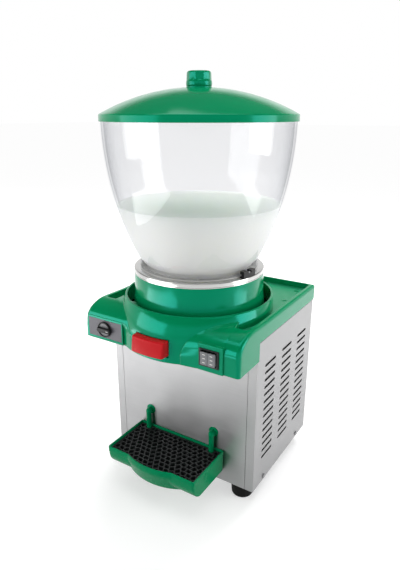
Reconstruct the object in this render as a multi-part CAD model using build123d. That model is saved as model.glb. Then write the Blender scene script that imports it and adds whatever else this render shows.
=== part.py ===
from build123d import *
import math
import os

# Single-bowl cold drink dispenser, in millimetres.
# +Z is up and the front faces -Y. The origin is on the floor, under the middle of the whole object.
# Sizes ending in _Y are measured rearwards from the cabinet's front face, and heights from the floor.

os.makedirs("parts", exist_ok=True)

# Clearances
GAP = 0.3            # between pieces that only stand beside each other
RUN = 0.05           # radial, shaft in its bore
FIT = 0.02           # radial, fixed pin in its hole

# Cabinet
CABINET_WIDTH = 290.0
CABINET_DEPTH = 233.0
FOOT_HEIGHT = 25.0
SHEET = 1.0
PANEL_LAP = 7.5      # how far the panels rise inside the cover's skirt
CORNER_FLANGE = 15.5
SEAM = 0.6
PAN_SHEET = 1.2
PAN_UPSTAND = 14.0
DECK_Z = 303.0
DECK_SHEET = 1.5
DECK_FLANGE = 12.0
PANEL_SCREW_R = 2.0
PANEL_SCREW_HEAD_R = 4.0
PANEL_SCREW_HEAD = 1.8
PANEL_SCREW_REACH = 7.0
SIDE_SCREW_YS = (41.0, 189.0)
SIDE_SCREW_Z = 31.5
REAR_SCREW_ZS = (45.0, 168.0, 290.0)

# Feet
FOOT_TOP_R = 20.5
FOOT_BOTTOM_R = 18.5
FOOT_INSET_X = 30.0
FOOT_INSET_Y = 20.5
FOOT_SCREW_R = 2.5
FOOT_SCREW_HEAD_R = 5.0
FOOT_SCREW_HEAD = 3.0
FOOT_POCKET = 8.0
FOOT_SCREW_REACH = 6.0

# Vent slots
SLOT_LENGTH = 41.0
SLOT_HEIGHT = 5.0
SLOT_PITCH = 13.5
SLOT_ROWS = 14
SLOT_COLUMNS = 3
SLOT_COLUMN_PITCH = 67.5
SLOT_MIDDLE_Y = 116.5
SLOT_TOP_Z = 252.5
REAR_SLOT_ROWS = 8
REAR_SLOT_COLUMNS = 4
REAR_SLOT_COLUMN_PITCH = 56.0
REAR_SLOT_TOP_Z = 236.0

# Top cover
COVER_OUT = 2.5      # how far the cover stands out over the panels
COVER_WALL = 2.2
SKIRT_BOTTOM = 304.5
RIM_TOP = 332.0
RIM_SIDE = 9.5
RIM_REAR = 7.0
RIM_ROUND = 5.0
RECESS_DEPTH = 10.0
RECESS_FRONT_Y = -25.0
RECESS_CORNER_R = 6.0
COVER_CORNER_R = 4.0
COVER_REAR_R = 5.0   # rear corners, outside
COVER_REAR_INNER_R = 1.0
LOBE_REACH = 68.0
LOBE_BOTTOM = 273.0
LOBE_TOP = 333.0
BROW_REACH = 44.0
BROW_RISE = 30.0
LOBE_RUNOUT_Y = 30.0
APRON_R = 134.0
APRON_SHIFT = 8.0    # how far the apron's circle stands forward of the ring above it
APRON_DRAFT = 2.0
SHOULDER_Z = 304.0
RING_TOP = 345.5
RING_OPENING_R = 123.4
RING_LIP = 2.8
BELL_SPANS = 6
FLOOR_SHEET = 2.5
HOLLOW_DROP = 10.0   # how far the form that hollows the cover reaches below it
COVER_SCREW_X = 121.0
COVER_SCREW_YS = (150.0, 206.0)
COVER_SCREW_R = 2.0
COVER_SCREW_HEAD_R = 4.5
COVER_SCREW_HEAD = 1.6
COVER_POST_R = 6.0
PAD_TOP = 316.5      # flat pads on the lobes for the plate and the switch
PAD_DEPTH = 12.0

# Bowl axis, collar and chill well
AXIS_Y = 59.8
COLLAR_R = 110.0
COLLAR_WALL = 2.5
COLLAR_TOP = 384.8
COLLAR_FLARE = 3.5
COLLAR_FLARE_Z = 345.0
COLLAR_FLARE_RISE = 6.0
WELL_R = 92.0
WELL_SHEET = 1.0
WELL_BOTTOM = 317.0
WELL_FLANGE = 1.2
RING_INNER_R = 91.0
RING_HEIGHT = 7.2
RING_ROUND = 1.5
GASKET_WIDTH = 8.5
GASKET_HEIGHT = 1.5

# Evaporator and foam
COIL_TUBE_R = 3.0
COIL_PITCH = 12.0
COIL_START_Z = 324.0
COIL_START_DEG = 160.0
COIL_SWEEP_DEG = 1500.0
COIL_STEPS = 17
COIL_BEND = 10.0
COIL_RETURN_DEG = 7.0
COIL_RETURN_OUT = 7.2
FOAM_COIL_ROOM = 1.0
FOAM_HOLE_ROOM = 1.2

# Bowl
BOWL_FOOT_R = 99.0
BOWL_FOOT = 4.0
BOWL_NECK_R = 94.1
BOWL_RIM_R = 151.5
BOWL_TOP = 628.0
BOWL_WALL = 4.0
BOWL_SWELL = 2.0
BOWL_FULLNESS = 0.93
BOWL_SPANS = 6

# Bayonet locks
LOCK_DEG = 79.5
LOCK_SPAN_DEG = 15.0
LOCK_LUMP_DEG = 5.6
LOCK_WIDTH = 9.0
LOCK_BASE = 6.4
LOCK_LUMP = 3.6
LOCK_SLOT_WALL_DEG = 2.5
TAB_REACH = 3.2
TAB_HEIGHT = 3.0
TAB_SPAN_DEG = 5.0
LOCK_SCREW_R = 1.6
LOCK_SCREW_HEAD_R = 2.2
LOCK_SCREW_HEAD = 1.6
LOCK_SCREW_DEPTH = 4.5

# Lid
LID_CLEAR = 0.6
LID_SKIRT = 2.3
LID_BOTTOM = 624.0
LID_SHOULDER = 634.0
LID_CROWN = 673.6
LID_WALL = 2.5
LID_SEAT = 4.5
LID_BOSS_R = 19.5
LID_BOSS_TOP = 675.0
LID_KNOB_R = 23.2
LID_KNOB_TAPER = 6.0
LID_KNOB_TOP = 697.5
LID_KNOB_SIDES = 10
LID_KNOB_ROUND = 2.5
LID_SCREW_R = 2.5
LID_SCREW_HEAD_R = 4.5
LID_SCREW_HEAD = 3.0
LID_SCREW_GRIP = 12.0

# Drip tray and grate
TRAY_WIDTH = 177.0
TRAY_DEPTH = 96.0
TRAY_BACK_GAP = 1.0
TRAY_TOP = 88.0
TRAY_BOTTOM = 46.0
TRAY_WALL = 2.2
TRAY_BOW = 9.2
TRAY_BOW_WIDTH = 90.0
TRAY_ROLL_R = 30.0
TRAY_BELLY_DRAFT = 10.5
TRAY_LEDGE = 2.0
GRATE_HEIGHT = 10.0
GRATE_SINK = 4.0
GRATE_CLEAR = 0.8
GRATE_RIM = 3.0
GRATE_WEB = 1.7
GRATE_CELL = 10.5
GRATE_JITTER = 1.7
HOOK_X = 67.0
HOOK_R = 4.6
HOOK_KNUCKLE_R = 6.2
HOOK_Z = 118.0
HOOK_REACH = 13.0
GROMMET_FLANGE_R = 9.0
GROMMET_HOLE_R = 6.6
GROMMET_FLANGE = 1.2

# Dispensing lever and valve
LEVER_WIDTH = 60.0
LEVER_TOP = 310.0
LEVER_BOTTOM = 284.0
LEVER_TOP_R = 151.5
LEVER_BOTTOM_R = 156.0
LEVER_BACK_R = 139.0
LEVER_GAP = 1.0
LEVER_SWING_GAP = 4.0
PIVOT_Y = -69.5
PIVOT_Z = 297.5
PIN_R = 2.0
BARREL_R = 4.2
BARREL_WIDTH = 36.0
EAR_GAP = 8.0
EAR_SHEET = 1.5
EAR_LENGTH = 9.0
FINGER_WIDTH = 16.0
FINGER_THICK = 3.0
FINGER_DROP = 0.9
FINGER_PAST = 2.0
SPRING_WIRE_R = 0.5
SPRING_PITCH = 1.6
SPRING_TURNS = 4
VALVE_Y = -58.0
VALVE_R = 14.0
VALVE_TOP = 291.2
VALVE_SEAT_Z = 278.5
CHAMBER_R = 10.0
CHAMBER_TOP = 288.0
NOZZLE_R = 8.0
NOZZLE_BORE_R = 5.0
NOZZLE_BOTTOM = 266.0
PLUNGER_R = 3.0
PLUNGER_SEAL_R = 7.5
PLUNGER_SEAL = 3.5
PLUNGER_HEAD_R = 7.0
PLUNGER_HEAD = 3.0
INLET_Z = 283.7
INLET_R = 6.0
INLET_BORE_R = 3.8
INLET_REACH = 14.0
HOSE_R = 7.7
HOSE_BEND = 15.0
OUTLET_Y = -13.0
OUTLET_DROP = 9.0

# Thermostat and switch
THERMO_X = -105.5
THERMO_Z = 294.0
THERMO_PLATE_W = 71.0
THERMO_PLATE_H = 32.0
THERMO_PLATE = 1.0
THERMO_PAD_LEFT = 2.2
THERMO_PAD_RIGHT = 5.0
THERMO_BODY_W = 39.0
THERMO_BODY_H = 28.0
THERMO_BODY_D = 27.0
THERMO_BUSH_R = 5.0
THERMO_STEM_R = 3.0
KNOB_R = 13.6
KNOB_BASE = 4.5
KNOB_GRIP = 7.5
KNOB_GRIP_W = 7.0
SWITCH_X = 98.5
SWITCH_Z = 295.7
SWITCH_W = 34.0
SWITCH_H = 28.5
SWITCH_FLANGE = 1.8
SWITCH_FRAME = 2.4
SWITCH_WALL = 1.2
SWITCH_DEPTH = 24.0
SWITCH_POCKET = 12.0
SWITCH_PAD = 1.5
SWITCH_PAD_LEFT = 2.5
SWITCH_PAD_RIGHT = 6.0
ROCKER_PIN_R = 1.25
ROCKER_PIN_SINK = 7.3
ROCKER_SHORT = 1.3
ROCKER_PROUD = 3.5
ROCKER_DISH = 1.0
ROCKER_DEPTH = 12.7

# Mixer
MIXER_R = 31.0
MIXER_TOP = 288.0
MIXER_HEIGHT = 66.0
MIXER_PLATE_R = 40.0
MIXER_PLATE = 2.0
MIXER_POST_R = 4.0
MIXER_POST_INSET = 7.0
SHAFT_R = 4.0
SHAFT_TOP = 356.0
SEAL_R = 11.0
SEAL_FLANGE_R = 14.0
SEAL_FLANGE = 3.0
AGITATOR_HUB_R = 12.0
AGITATOR_R = 70.0
AGITATOR_BOTTOM = 326.0
AGITATOR_TOP = 362.0
AGITATOR_BLADES = 3
AGITATOR_BLADE = 3.0

# Cooling unit
COMP_X = -55.0
COMP_Y = 135.0
COMP_R = 60.0
COMP_BOTTOM = 38.0
COMP_TOP = 194.0
COMP_DOME = 26.0
COMP_FLAT_R = 38.0
COMP_PLATE_W = 150.0
COMP_PLATE_D = 126.0
COMP_PLATE = 2.5
COMP_STUB_R = 4.5
COMP_STUB = 10.0
MOUNT_R = 11.0
MOUNT_INSET = 14.0
COND_X0 = 117.0
COND_DEPTH = 22.0
COND_Y0 = 25.0
COND_Y1 = 195.0
COND_Z0 = 50.0
COND_Z1 = 235.0
COND_FINS = 18
COND_FIN = 3.0
COND_TUBES = 6
COND_TUBE_R = 4.0
FAN_Y = 110.0
FAN_Z = 142.0
FAN_R = 64.0
FAN_HUB_R = 21.0
FAN_HUB = 14.0
FAN_BLADES = 5
FAN_BLADE_W = 24.0
FAN_BLADE = 2.0
FAN_PITCH_DEG = 35.0
FAN_SHAFT_R = 3.0
SHROUD_HOLE_R = 72.0
SHROUD_DEPTH = 20.0
SHROUD_MARGIN = 8.0
FAN_BAR = 2.5
FAN_BAR_W = 12.0
FAN_MOTOR_R = 32.0
FAN_MOTOR_L = 47.0
DRIER_R = 9.0
DRIER_TOP = 270.0
DRIER_LENGTH = 70.0
LINE_R = 3.0
LINE_BEND = 12.0
LINE_BACK_Y = 212.0
LIQUID_Z = 66.0
DISCHARGE_Z = 222.0
DISCHARGE_X = -35.0
DISCHARGE_Y = 150.0

# Mains entry
INLET_X = -95.0
INLET_MAINS_Z = 62.0
INLET_MAINS_W = 31.0
INLET_MAINS_H = 24.0
INLET_MAINS_FLANGE = 2.2
INLET_MAINS_DEPTH = 18.0
INLET_MAINS_POCKET = 14.0
INLET_MAINS_FRAME = 4.0
INLET_PIN_R = 1.6
INLET_PIN_PITCH = 6.0
TERMINAL_X = -95.0
TERMINAL_Y = 40.0
TERMINAL_W = 58.0
TERMINAL_D = 22.0
TERMINAL_H = 18.0
TERMINAL_WAYS = 5
TERMINAL_HOLE_R = 2.4

# Places worked out from the sizes above
TRAY_REACH = TRAY_BACK_GAP + TRAY_DEPTH + TRAY_BOW
FRONT = (TRAY_REACH - CABINET_DEPTH - COVER_OUT) / 2
HALF = CABINET_WIDTH / 2
BACK = FRONT + CABINET_DEPTH
AXIS = FRONT + AXIS_Y
PANEL_TOP = SKIRT_BOTTOM + PANEL_LAP
PAN_FLOOR = FOOT_HEIGHT + PAN_SHEET
PAN_HALF = HALF - SHEET
PAN_FRONT = FRONT + SHEET
PAN_BACK = BACK - 2 * SHEET
DECK_TOP = DECK_Z + DECK_SHEET
DECK_R = RING_OPENING_R + RING_LIP
COVER_HALF = HALF + COVER_OUT
COVER_BACK = BACK + COVER_OUT
LOBE_FRONT = FRONT - LOBE_REACH
APRON_Y = AXIS - APRON_SHIFT
RECESS_FLOOR = RIM_TOP - RECESS_DEPTH
RING_BASE = COLLAR_TOP + WELL_FLANGE
RING_FACE = RING_BASE + RING_HEIGHT
BOWL_BASE = RING_FACE + GASKET_HEIGHT
BOWL_WALL_Z = BOWL_BASE + BOWL_FOOT
LID_R = BOWL_RIM_R + LID_CLEAR + LID_SKIRT
LID_UNDER = LID_BOSS_TOP - LID_WALL - LID_SCREW_HEAD
GRATE_TOP = TRAY_TOP - GRATE_SINK
GRATE_BOTTOM = GRATE_TOP - GRATE_HEIGHT
TRAY_REAR = FRONT - TRAY_BACK_GAP
TRAY_WING = TRAY_REAR - TRAY_DEPTH
HOOK_Y = TRAY_REAR - TRAY_WALL - HOOK_R
COIL_R = WELL_R + WELL_SHEET + GAP + COIL_TUBE_R
FOAM_INNER_R = COIL_R + COIL_TUBE_R + FOAM_COIL_ROOM
FOAM_OUTER_R = COLLAR_R - COLLAR_WALL - GAP
FLOOR_TOP = LOBE_BOTTOM + FLOOR_SHEET
PIVOT = FRONT + PIVOT_Y
VALVE = FRONT + VALVE_Y
OUTLET = FRONT + OUTLET_Y
EAR_X = BARREL_WIDTH / 2 + EAR_GAP
FINGER_TOP = PIVOT_Z - FINGER_DROP
SHROUD_X0 = COND_X0 - SHROUD_DEPTH
FAN_BAR_X0 = SHROUD_X0 - 2 * FAN_BAR
FAN_X = SHROUD_X0 + FAN_HUB / 2 + GAP
FAN_CENTRE_Y = FRONT + FAN_Y
COND_LINE_X = COND_X0 + COND_DEPTH / 2


def block(x0, x1, y0, y1, z0, z1):
    """Box between two opposite corners."""
    return Pos((x0 + x1) / 2, (y0 + y1) / 2, (z0 + z1) / 2) * Box(x1 - x0, y1 - y0, z1 - z0)


def post(r, x, y, z0, z1):
    """Upright cylinder."""
    return Pos(x, y, (z0 + z1) / 2) * Cylinder(r, z1 - z0)


def rod_x(r, x0, x1, y, z):
    """Cylinder lying along X."""
    return Pos((x0 + x1) / 2, y, z) * Rot(0, 90, 0) * Cylinder(r, x1 - x0)


def rod_y(r, x, y0, y1, z):
    """Cylinder lying along Y."""
    return Pos(x, (y0 + y1) / 2, z) * Rot(90, 0, 0) * Cylinder(r, y1 - y0)


def turned(outline, y=0.0, degrees=360.0):
    """Closed outline of (radius, height) turned about the upright axis at y."""
    return Pos(0, y, 0) * revolve(Plane.XZ * make_face(outline), Axis.Z, degrees)


def polygon(*points):
    return Polyline(*points, close=True)


def sector(r0, r1, z0, z1, middle_deg, span_deg):
    """Piece of a ring about the bowl axis. Angles run from the front towards +X."""
    ring = revolve(Plane.XZ * make_face(polygon((r0, z0), (r1, z0), (r1, z1), (r0, z1))), Axis.Z, span_deg)
    return Pos(0, AXIS, 0) * Rot(0, 0, middle_deg - 90 - span_deg / 2) * ring


def on_axis_ring(r, degrees, z):
    """Point on a circle about the bowl axis, counted from the front towards +X."""
    angle = math.radians(degrees)
    return Vector(r * math.sin(angle), AXIS - r * math.cos(angle), z)


def group(shapes):
    """Separate solids kept together in one node."""
    return shapes[0].fuse(*shapes[1:])


def mirrored(shape):
    return mirror(shape, about=Plane.YZ)


def save(name, shape):
    export_step(shape, f"parts/{name}.step")
    print(name, len(shape.solids()))


def biarc(start, start_dir, end, end_dir):
    """Two arcs, smooth at their joint, from one point and direction to another."""
    chord = end - start
    both = start_dir + end_dir
    turn = 2 * (1 - start_dir.dot(end_dir))
    along = chord.dot(both)
    reach = (-along + math.sqrt(along**2 + turn * chord.dot(chord))) / turn
    joint = (start + start_dir * reach + end - end_dir * reach) * 0.5
    return [TangentArc(start, joint, tangent=start_dir),
            TangentArc(end, joint, tangent=end_dir * -1)]


def tube_along(edges, radius):
    """Solid round tube swept along joined edges."""
    path = Wire(edges)
    return sweep(Plane(origin=path @ 0, z_dir=path % 0) * Circle(radius), path=path)


def least_self_gap(edges, radius, skip):
    """Smallest gap between stretches of a tube that are more than skip apart along it."""
    points = []
    run = 0.0
    for edge in edges:
        count = max(2, round(edge.length / radius))
        points += [(run + edge.length * i / count, edge @ (i / count)) for i in range(count)]
        run += edge.length
    return min((a - b).length for s, a in points for t, b in points if t - s > skip) - 2 * radius


def slots(rows, columns, column_pitch):
    """Grid of vent slots, centred, in the XY plane."""
    places = GridLocations(column_pitch, SLOT_PITCH, columns, rows)
    return Sketch() + places * SlotOverall(SLOT_LENGTH, SLOT_HEIGHT)


def foot_places():
    """Centres of the four feet."""
    xs = (-HALF + FOOT_INSET_X, HALF - FOOT_INSET_X)
    ys = (FRONT + FOOT_INSET_Y, BACK - FOOT_INSET_Y)
    return [(x, y) for x in xs for y in ys]


# Cabinet

def base_pan():
    pan = block(-PAN_HALF, PAN_HALF, PAN_FRONT, PAN_BACK, FOOT_HEIGHT, FOOT_HEIGHT + PAN_UPSTAND)
    hollow = block(-PAN_HALF + PAN_SHEET, PAN_HALF - PAN_SHEET, PAN_FRONT + PAN_SHEET, PAN_BACK - PAN_SHEET,
                   PAN_FLOOR, FOOT_HEIGHT + PAN_UPSTAND + 1)
    holes = [post(FOOT_SCREW_R + FIT, x, y, FOOT_HEIGHT - 1, PAN_FLOOR + 1) for x, y in foot_places()]
    holes += [rod_x(PANEL_SCREW_R + FIT, -HALF - 1, HALF + 1, FRONT + y, SIDE_SCREW_Z) for y in SIDE_SCREW_YS]
    return pan - hollow - holes


def feet():
    outline = polygon((0, 0), (FOOT_BOTTOM_R, 0), (FOOT_TOP_R, FOOT_HEIGHT), (0, FOOT_HEIGHT))
    foot = turned(outline)
    foot -= post(FOOT_SCREW_HEAD_R + GAP, 0, 0, -1, FOOT_POCKET)
    foot -= post(FOOT_SCREW_R + FIT, 0, 0, 0, FOOT_HEIGHT + 1)
    return group([Pos(x, y, 0) * foot for x, y in foot_places()])


def foot_screws():
    screws = []
    for x, y in foot_places():
        head = post(FOOT_SCREW_HEAD_R, x, y, FOOT_POCKET - FOOT_SCREW_HEAD, FOOT_POCKET)
        screws.append(head + post(FOOT_SCREW_R, x, y, FOOT_POCKET, PAN_FLOOR + FOOT_SCREW_REACH))
    return group(screws)


def front_panel():
    half = HALF - CORNER_FLANGE - SEAM
    panel = block(-half, half, FRONT, FRONT + SHEET, FOOT_HEIGHT, DECK_Z)
    holes = [rod_y(GROMMET_HOLE_R, x, FRONT - 1, FRONT + SHEET + 1, HOOK_Z) for x in (-HOOK_X, HOOK_X)]
    return panel - holes


def side_panel():
    """Right side panel, with a flange round each corner."""
    panel = block(HALF - SHEET, HALF, FRONT, BACK - SHEET, FOOT_HEIGHT, PANEL_TOP)
    panel += block(HALF - CORNER_FLANGE, HALF, FRONT, FRONT + SHEET, FOOT_HEIGHT, PANEL_TOP)
    panel += block(HALF - CORNER_FLANGE, HALF, BACK - 2 * SHEET, BACK - SHEET, FOOT_HEIGHT, PANEL_TOP)
    middle_z = SLOT_TOP_Z - SLOT_PITCH * (SLOT_ROWS - 1) / 2
    face = Plane(origin=(HALF, FRONT + SLOT_MIDDLE_Y, middle_z), x_dir=(0, 1, 0), z_dir=(1, 0, 0))
    panel -= extrude(face * slots(SLOT_ROWS, SLOT_COLUMNS, SLOT_COLUMN_PITCH), amount=2 * SHEET, both=True)
    for y in SIDE_SCREW_YS:
        panel -= rod_x(PANEL_SCREW_R + FIT, HALF - 2 * SHEET, HALF + 1, FRONT + y, SIDE_SCREW_Z)
    for z in REAR_SCREW_ZS:
        panel -= rod_y(PANEL_SCREW_R + FIT, HALF - CORNER_FLANGE / 2, BACK - 3 * SHEET, BACK, z)
    return panel


def rear_panel():
    panel = block(-HALF, HALF, BACK - SHEET, BACK, FOOT_HEIGHT, PANEL_TOP)
    middle_z = REAR_SLOT_TOP_Z - SLOT_PITCH * (REAR_SLOT_ROWS - 1) / 2
    face = Plane(origin=(0, BACK, middle_z), x_dir=(-1, 0, 0), z_dir=(0, 1, 0))
    vents = face * slots(REAR_SLOT_ROWS, REAR_SLOT_COLUMNS, REAR_SLOT_COLUMN_PITCH)
    panel -= extrude(vents, amount=2 * SHEET, both=True)
    for z in REAR_SCREW_ZS:
        for x in (-HALF + CORNER_FLANGE / 2, HALF - CORNER_FLANGE / 2):
            panel -= rod_y(PANEL_SCREW_R + FIT, x, BACK - 2 * SHEET, BACK + 1, z)
    return panel - mains_body(GAP)


def panel_screws():
    screws = []
    for y in SIDE_SCREW_YS:
        head = rod_x(PANEL_SCREW_HEAD_R, HALF, HALF + PANEL_SCREW_HEAD, FRONT + y, SIDE_SCREW_Z)
        screw = head + rod_x(PANEL_SCREW_R, HALF - PANEL_SCREW_REACH, HALF, FRONT + y, SIDE_SCREW_Z)
        screws += [screw, mirrored(screw)]
    for z in REAR_SCREW_ZS:
        x = HALF - CORNER_FLANGE / 2
        head = rod_y(PANEL_SCREW_HEAD_R, x, BACK, BACK + PANEL_SCREW_HEAD, z)
        screw = head + rod_y(PANEL_SCREW_R, x, BACK - PANEL_SCREW_REACH, BACK, z)
        screws += [screw, mirrored(screw)]
    return group(screws)


def deck_plate():
    back = PAN_BACK
    deck = block(-PAN_HALF, PAN_HALF, PAN_FRONT, back, DECK_Z, DECK_TOP)
    deck += post(DECK_R, 0, AXIS, DECK_Z, DECK_TOP)
    for side in (-1, 1):
        outer = side * PAN_HALF
        inner = side * (PAN_HALF - DECK_SHEET)
        deck += block(min(outer, inner), max(outer, inner), PAN_FRONT, back, DECK_Z - DECK_FLANGE, DECK_Z)
    room = SEAL_R + FOAM_HOLE_ROOM
    holes = [post(room, 0, AXIS, DECK_Z - 1, DECK_TOP + 1)]
    holes.append(post(HOSE_R + FOAM_HOLE_ROOM, 0, OUTLET, DECK_Z - 1, DECK_TOP + 1))
    holes += [post(COIL_TUBE_R + FOAM_HOLE_ROOM, p.X, p.Y, DECK_Z - 1, DECK_TOP + 1) for p in coil_tails()]
    return deck - holes


# Top cover

def bell(inset, bottom):
    """Round apron and shoulder. Its circles shrink and move back towards the ring round the collar."""
    waist = APRON_R - APRON_DRAFT
    lip = RING_OPENING_R + RING_LIP
    rise = RING_TOP - SHOULDER_Z
    fall = waist + APRON_SHIFT - lip
    ball = (fall**2 + rise**2) / (2 * fall)
    circles = []
    for step in range(BELL_SPANS + 1):
        share = step / BELL_SPANS
        close = (ball - math.sqrt(ball**2 - (rise * share) ** 2)) / fall
        radius = waist + (lip - waist) * close - inset
        centre = Pos(0, AXIS - APRON_SHIFT * (1 - close), SHOULDER_Z + (rise - inset) * share)
        circles.append(centre * Circle(radius))
    foot = Cone(APRON_R - inset, waist - inset, SHOULDER_Z - bottom)
    return Pos(0, APRON_Y, (bottom + SHOULDER_Z) / 2) * foot + loft(circles)


def lobe_outline(inset, drop):
    """Side view of the two front lobes, as (y, z), with a rounded brow that runs out to the rim."""
    front = LOBE_FRONT + inset
    centre = (LOBE_FRONT + BROW_REACH, LOBE_TOP - BROW_RISE)
    low = LOBE_BOTTOM - drop
    skirt = SKIRT_BOTTOM - drop
    near = FRONT - GAP + drop
    far = FRONT + LOBE_RUNOUT_Y
    brow = EllipticalCenterArc(centre, BROW_REACH - inset, BROW_RISE - inset, start_angle=90, arc_size=90)
    top = (centre[0], LOBE_TOP - inset)
    rest = Polyline(top, (far, RIM_TOP - inset), (far, skirt), (near, skirt), (near, low), (front, low),
                    (front, centre[1]))
    return [brow, rest]


def cover_form(inset):
    """Solid form of the cover. The inset form, which reaches lower, hollows the outer one."""
    drop = HOLLOW_DROP if inset else 0.0
    half = COVER_HALF - inset
    front = LOBE_FRONT + inset
    back = COVER_BACK - inset
    skirt = block(-half, half, FRONT, back, SKIRT_BOTTOM - drop, RIM_TOP - inset)
    lobes = extrude(Plane.YZ * make_face(lobe_outline(inset, drop)), amount=half, both=True)
    plan = Pos(0, (front + back) / 2, LOBE_BOTTOM - drop) * Rectangle(2 * half, back - front)
    plan = fillet(plan.vertices().group_by(Axis.Y)[0], COVER_CORNER_R - inset)
    plan = fillet(plan.vertices().group_by(Axis.Y)[-1], COVER_REAR_INNER_R if inset else COVER_REAR_R)
    low = LOBE_BOTTOM - drop
    high = LOBE_TOP - inset
    ends = Pos(0, (low + high) / 2) * Rectangle(2 * half, high - low)
    ends = fillet(ends.vertices().group_by(Axis.Y)[-1], RIM_ROUND - inset)
    form = (skirt + lobes) & extrude(plan, amount=RING_TOP - low)
    form &= extrude(Plane.XZ * ends, amount=back - front, both=True)
    recess_front = FRONT + RECESS_FRONT_Y - inset
    recess_back = COVER_BACK - RIM_REAR + inset
    recess = Pos(0, (recess_front + recess_back) / 2, RECESS_FLOOR - inset)
    recess *= RectangleRounded(2 * (COVER_HALF - RIM_SIDE + inset), recess_back - recess_front,
                               RECESS_CORNER_R + inset)
    form -= extrude(recess, amount=2 * RECESS_DEPTH)
    apron = bell(inset, low)
    if not inset:
        apron -= block(-APRON_R - 1, APRON_R + 1, FRONT - GAP, COVER_BACK, LOBE_BOTTOM - 1, SKIRT_BOTTOM)
    return form + apron + lobe_pads(inset, low)


def lobe_pads(inset, bottom):
    """Flat pads that carry the thermostat plate and the switch, where the lobes' brow already leans back."""
    top = PAD_TOP - inset
    back = LOBE_FRONT + PAD_DEPTH
    left = THERMO_X - THERMO_PLATE_W / 2 - THERMO_PAD_LEFT + inset
    right = THERMO_X + THERMO_PLATE_W / 2 + THERMO_PAD_RIGHT - inset
    pads = block(left, right, LOBE_FRONT + inset, back, bottom, top)
    left = SWITCH_X - SWITCH_W / 2 - SWITCH_PAD_LEFT + inset
    right = SWITCH_X + SWITCH_W / 2 + SWITCH_PAD_RIGHT - inset
    return pads + block(left, right, LOBE_FRONT - SWITCH_PAD + inset, back, bottom, top)


def cover_screw_places():
    return [(x, FRONT + y) for x in (-COVER_SCREW_X, COVER_SCREW_X) for y in COVER_SCREW_YS]


def top_cover():
    cover = cover_form(0.0) - cover_form(COVER_WALL)
    cover -= post(RING_OPENING_R, 0, AXIS, RING_TOP - 2 * COVER_WALL, RING_TOP + 1)
    window = LEVER_WIDTH / 2 + LEVER_GAP
    cover -= block(-window, window, AXIS - LEVER_BOTTOM_R, AXIS - LEVER_BACK_R + 4 * COVER_WALL,
                   LEVER_BOTTOM - LEVER_SWING_GAP, LEVER_TOP + LEVER_GAP)
    half_w = THERMO_PLATE_W / 2 + GAP
    half_h = THERMO_PLATE_H / 2 + GAP
    cover -= block(THERMO_X - half_w, THERMO_X + half_w, LOBE_FRONT - 1, LOBE_FRONT + THERMO_PLATE,
                   THERMO_Z - half_h, THERMO_Z + half_h)
    cover -= rod_y(THERMO_BUSH_R + FIT, THERMO_X, LOBE_FRONT - 1, LOBE_FRONT + 2 * COVER_WALL, THERMO_Z)
    cover -= switch_case(GAP)
    for x, y in cover_screw_places():
        cover -= post(COVER_SCREW_R + FIT, x, y, RECESS_FLOOR - 2 * COVER_WALL, RECESS_FLOOR + 1)
    return cover


def cover_posts():
    top = RECESS_FLOOR - COVER_WALL
    posts = []
    for x, y in cover_screw_places():
        bore = post(COVER_SCREW_R + FIT, x, y, DECK_TOP + 1, top + 1)
        posts.append(post(COVER_POST_R, x, y, DECK_TOP, top) - bore)
    return group(posts)


def cover_screws():
    screws = []
    for x, y in cover_screw_places():
        head = post(COVER_SCREW_HEAD_R, x, y, RECESS_FLOOR, RECESS_FLOOR + COVER_SCREW_HEAD)
        screws.append(head + post(COVER_SCREW_R, x, y, DECK_TOP + 2, RECESS_FLOOR))
    return group(screws)


def lobe_floor():
    """Plate that closes the underside of the lobes and apron, with a hole for the spout."""
    edge = COVER_WALL + GAP
    half = COVER_HALF - edge
    front = LOBE_FRONT + edge
    back = FRONT - 2 * GAP
    corner = COVER_CORNER_R - edge
    plan = Pos(0, (front + BACK) / 2) * RectangleRounded(2 * half, BACK - front, corner)
    plan += Pos(0, APRON_Y) * Circle(APRON_R - APRON_DRAFT - edge)
    plate = extrude(Pos(0, 0, LOBE_BOTTOM) * plan, amount=FLOOR_SHEET)
    plate &= block(-half, half, APRON_Y - APRON_R, back, LOBE_BOTTOM, FLOOR_TOP)
    return plate - post(NOZZLE_R + GAP, 0, VALVE, LOBE_BOTTOM - 1, FLOOR_TOP + 1)


# Collar, chill well and bowl seat

def collar_shell():
    inner = COLLAR_R - COLLAR_WALL
    base = COLLAR_R + COLLAR_FLARE
    return turned(polygon((inner, DECK_TOP), (base, DECK_TOP), (base, COLLAR_FLARE_Z),
                          (COLLAR_R, COLLAR_FLARE_Z + COLLAR_FLARE_RISE), (COLLAR_R, COLLAR_TOP),
                          (inner, COLLAR_TOP)), AXIS)


def chill_well():
    outer = WELL_R + WELL_SHEET
    well = turned(polygon((0, WELL_BOTTOM), (outer, WELL_BOTTOM), (outer, COLLAR_TOP), (COLLAR_R, COLLAR_TOP),
                          (COLLAR_R, RING_BASE), (WELL_R, RING_BASE), (WELL_R, WELL_BOTTOM + WELL_SHEET),
                          (0, WELL_BOTTOM + WELL_SHEET)), AXIS)
    well += post(INLET_R, 0, OUTLET, WELL_BOTTOM - OUTLET_DROP, WELL_BOTTOM)
    well -= post(INLET_BORE_R, 0, OUTLET, WELL_BOTTOM - OUTLET_DROP - 1, WELL_BOTTOM + WELL_SHEET + 1)
    return well - post(SEAL_R + FIT, 0, AXIS, WELL_BOTTOM - 1, WELL_BOTTOM + WELL_SHEET + 1)


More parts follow.
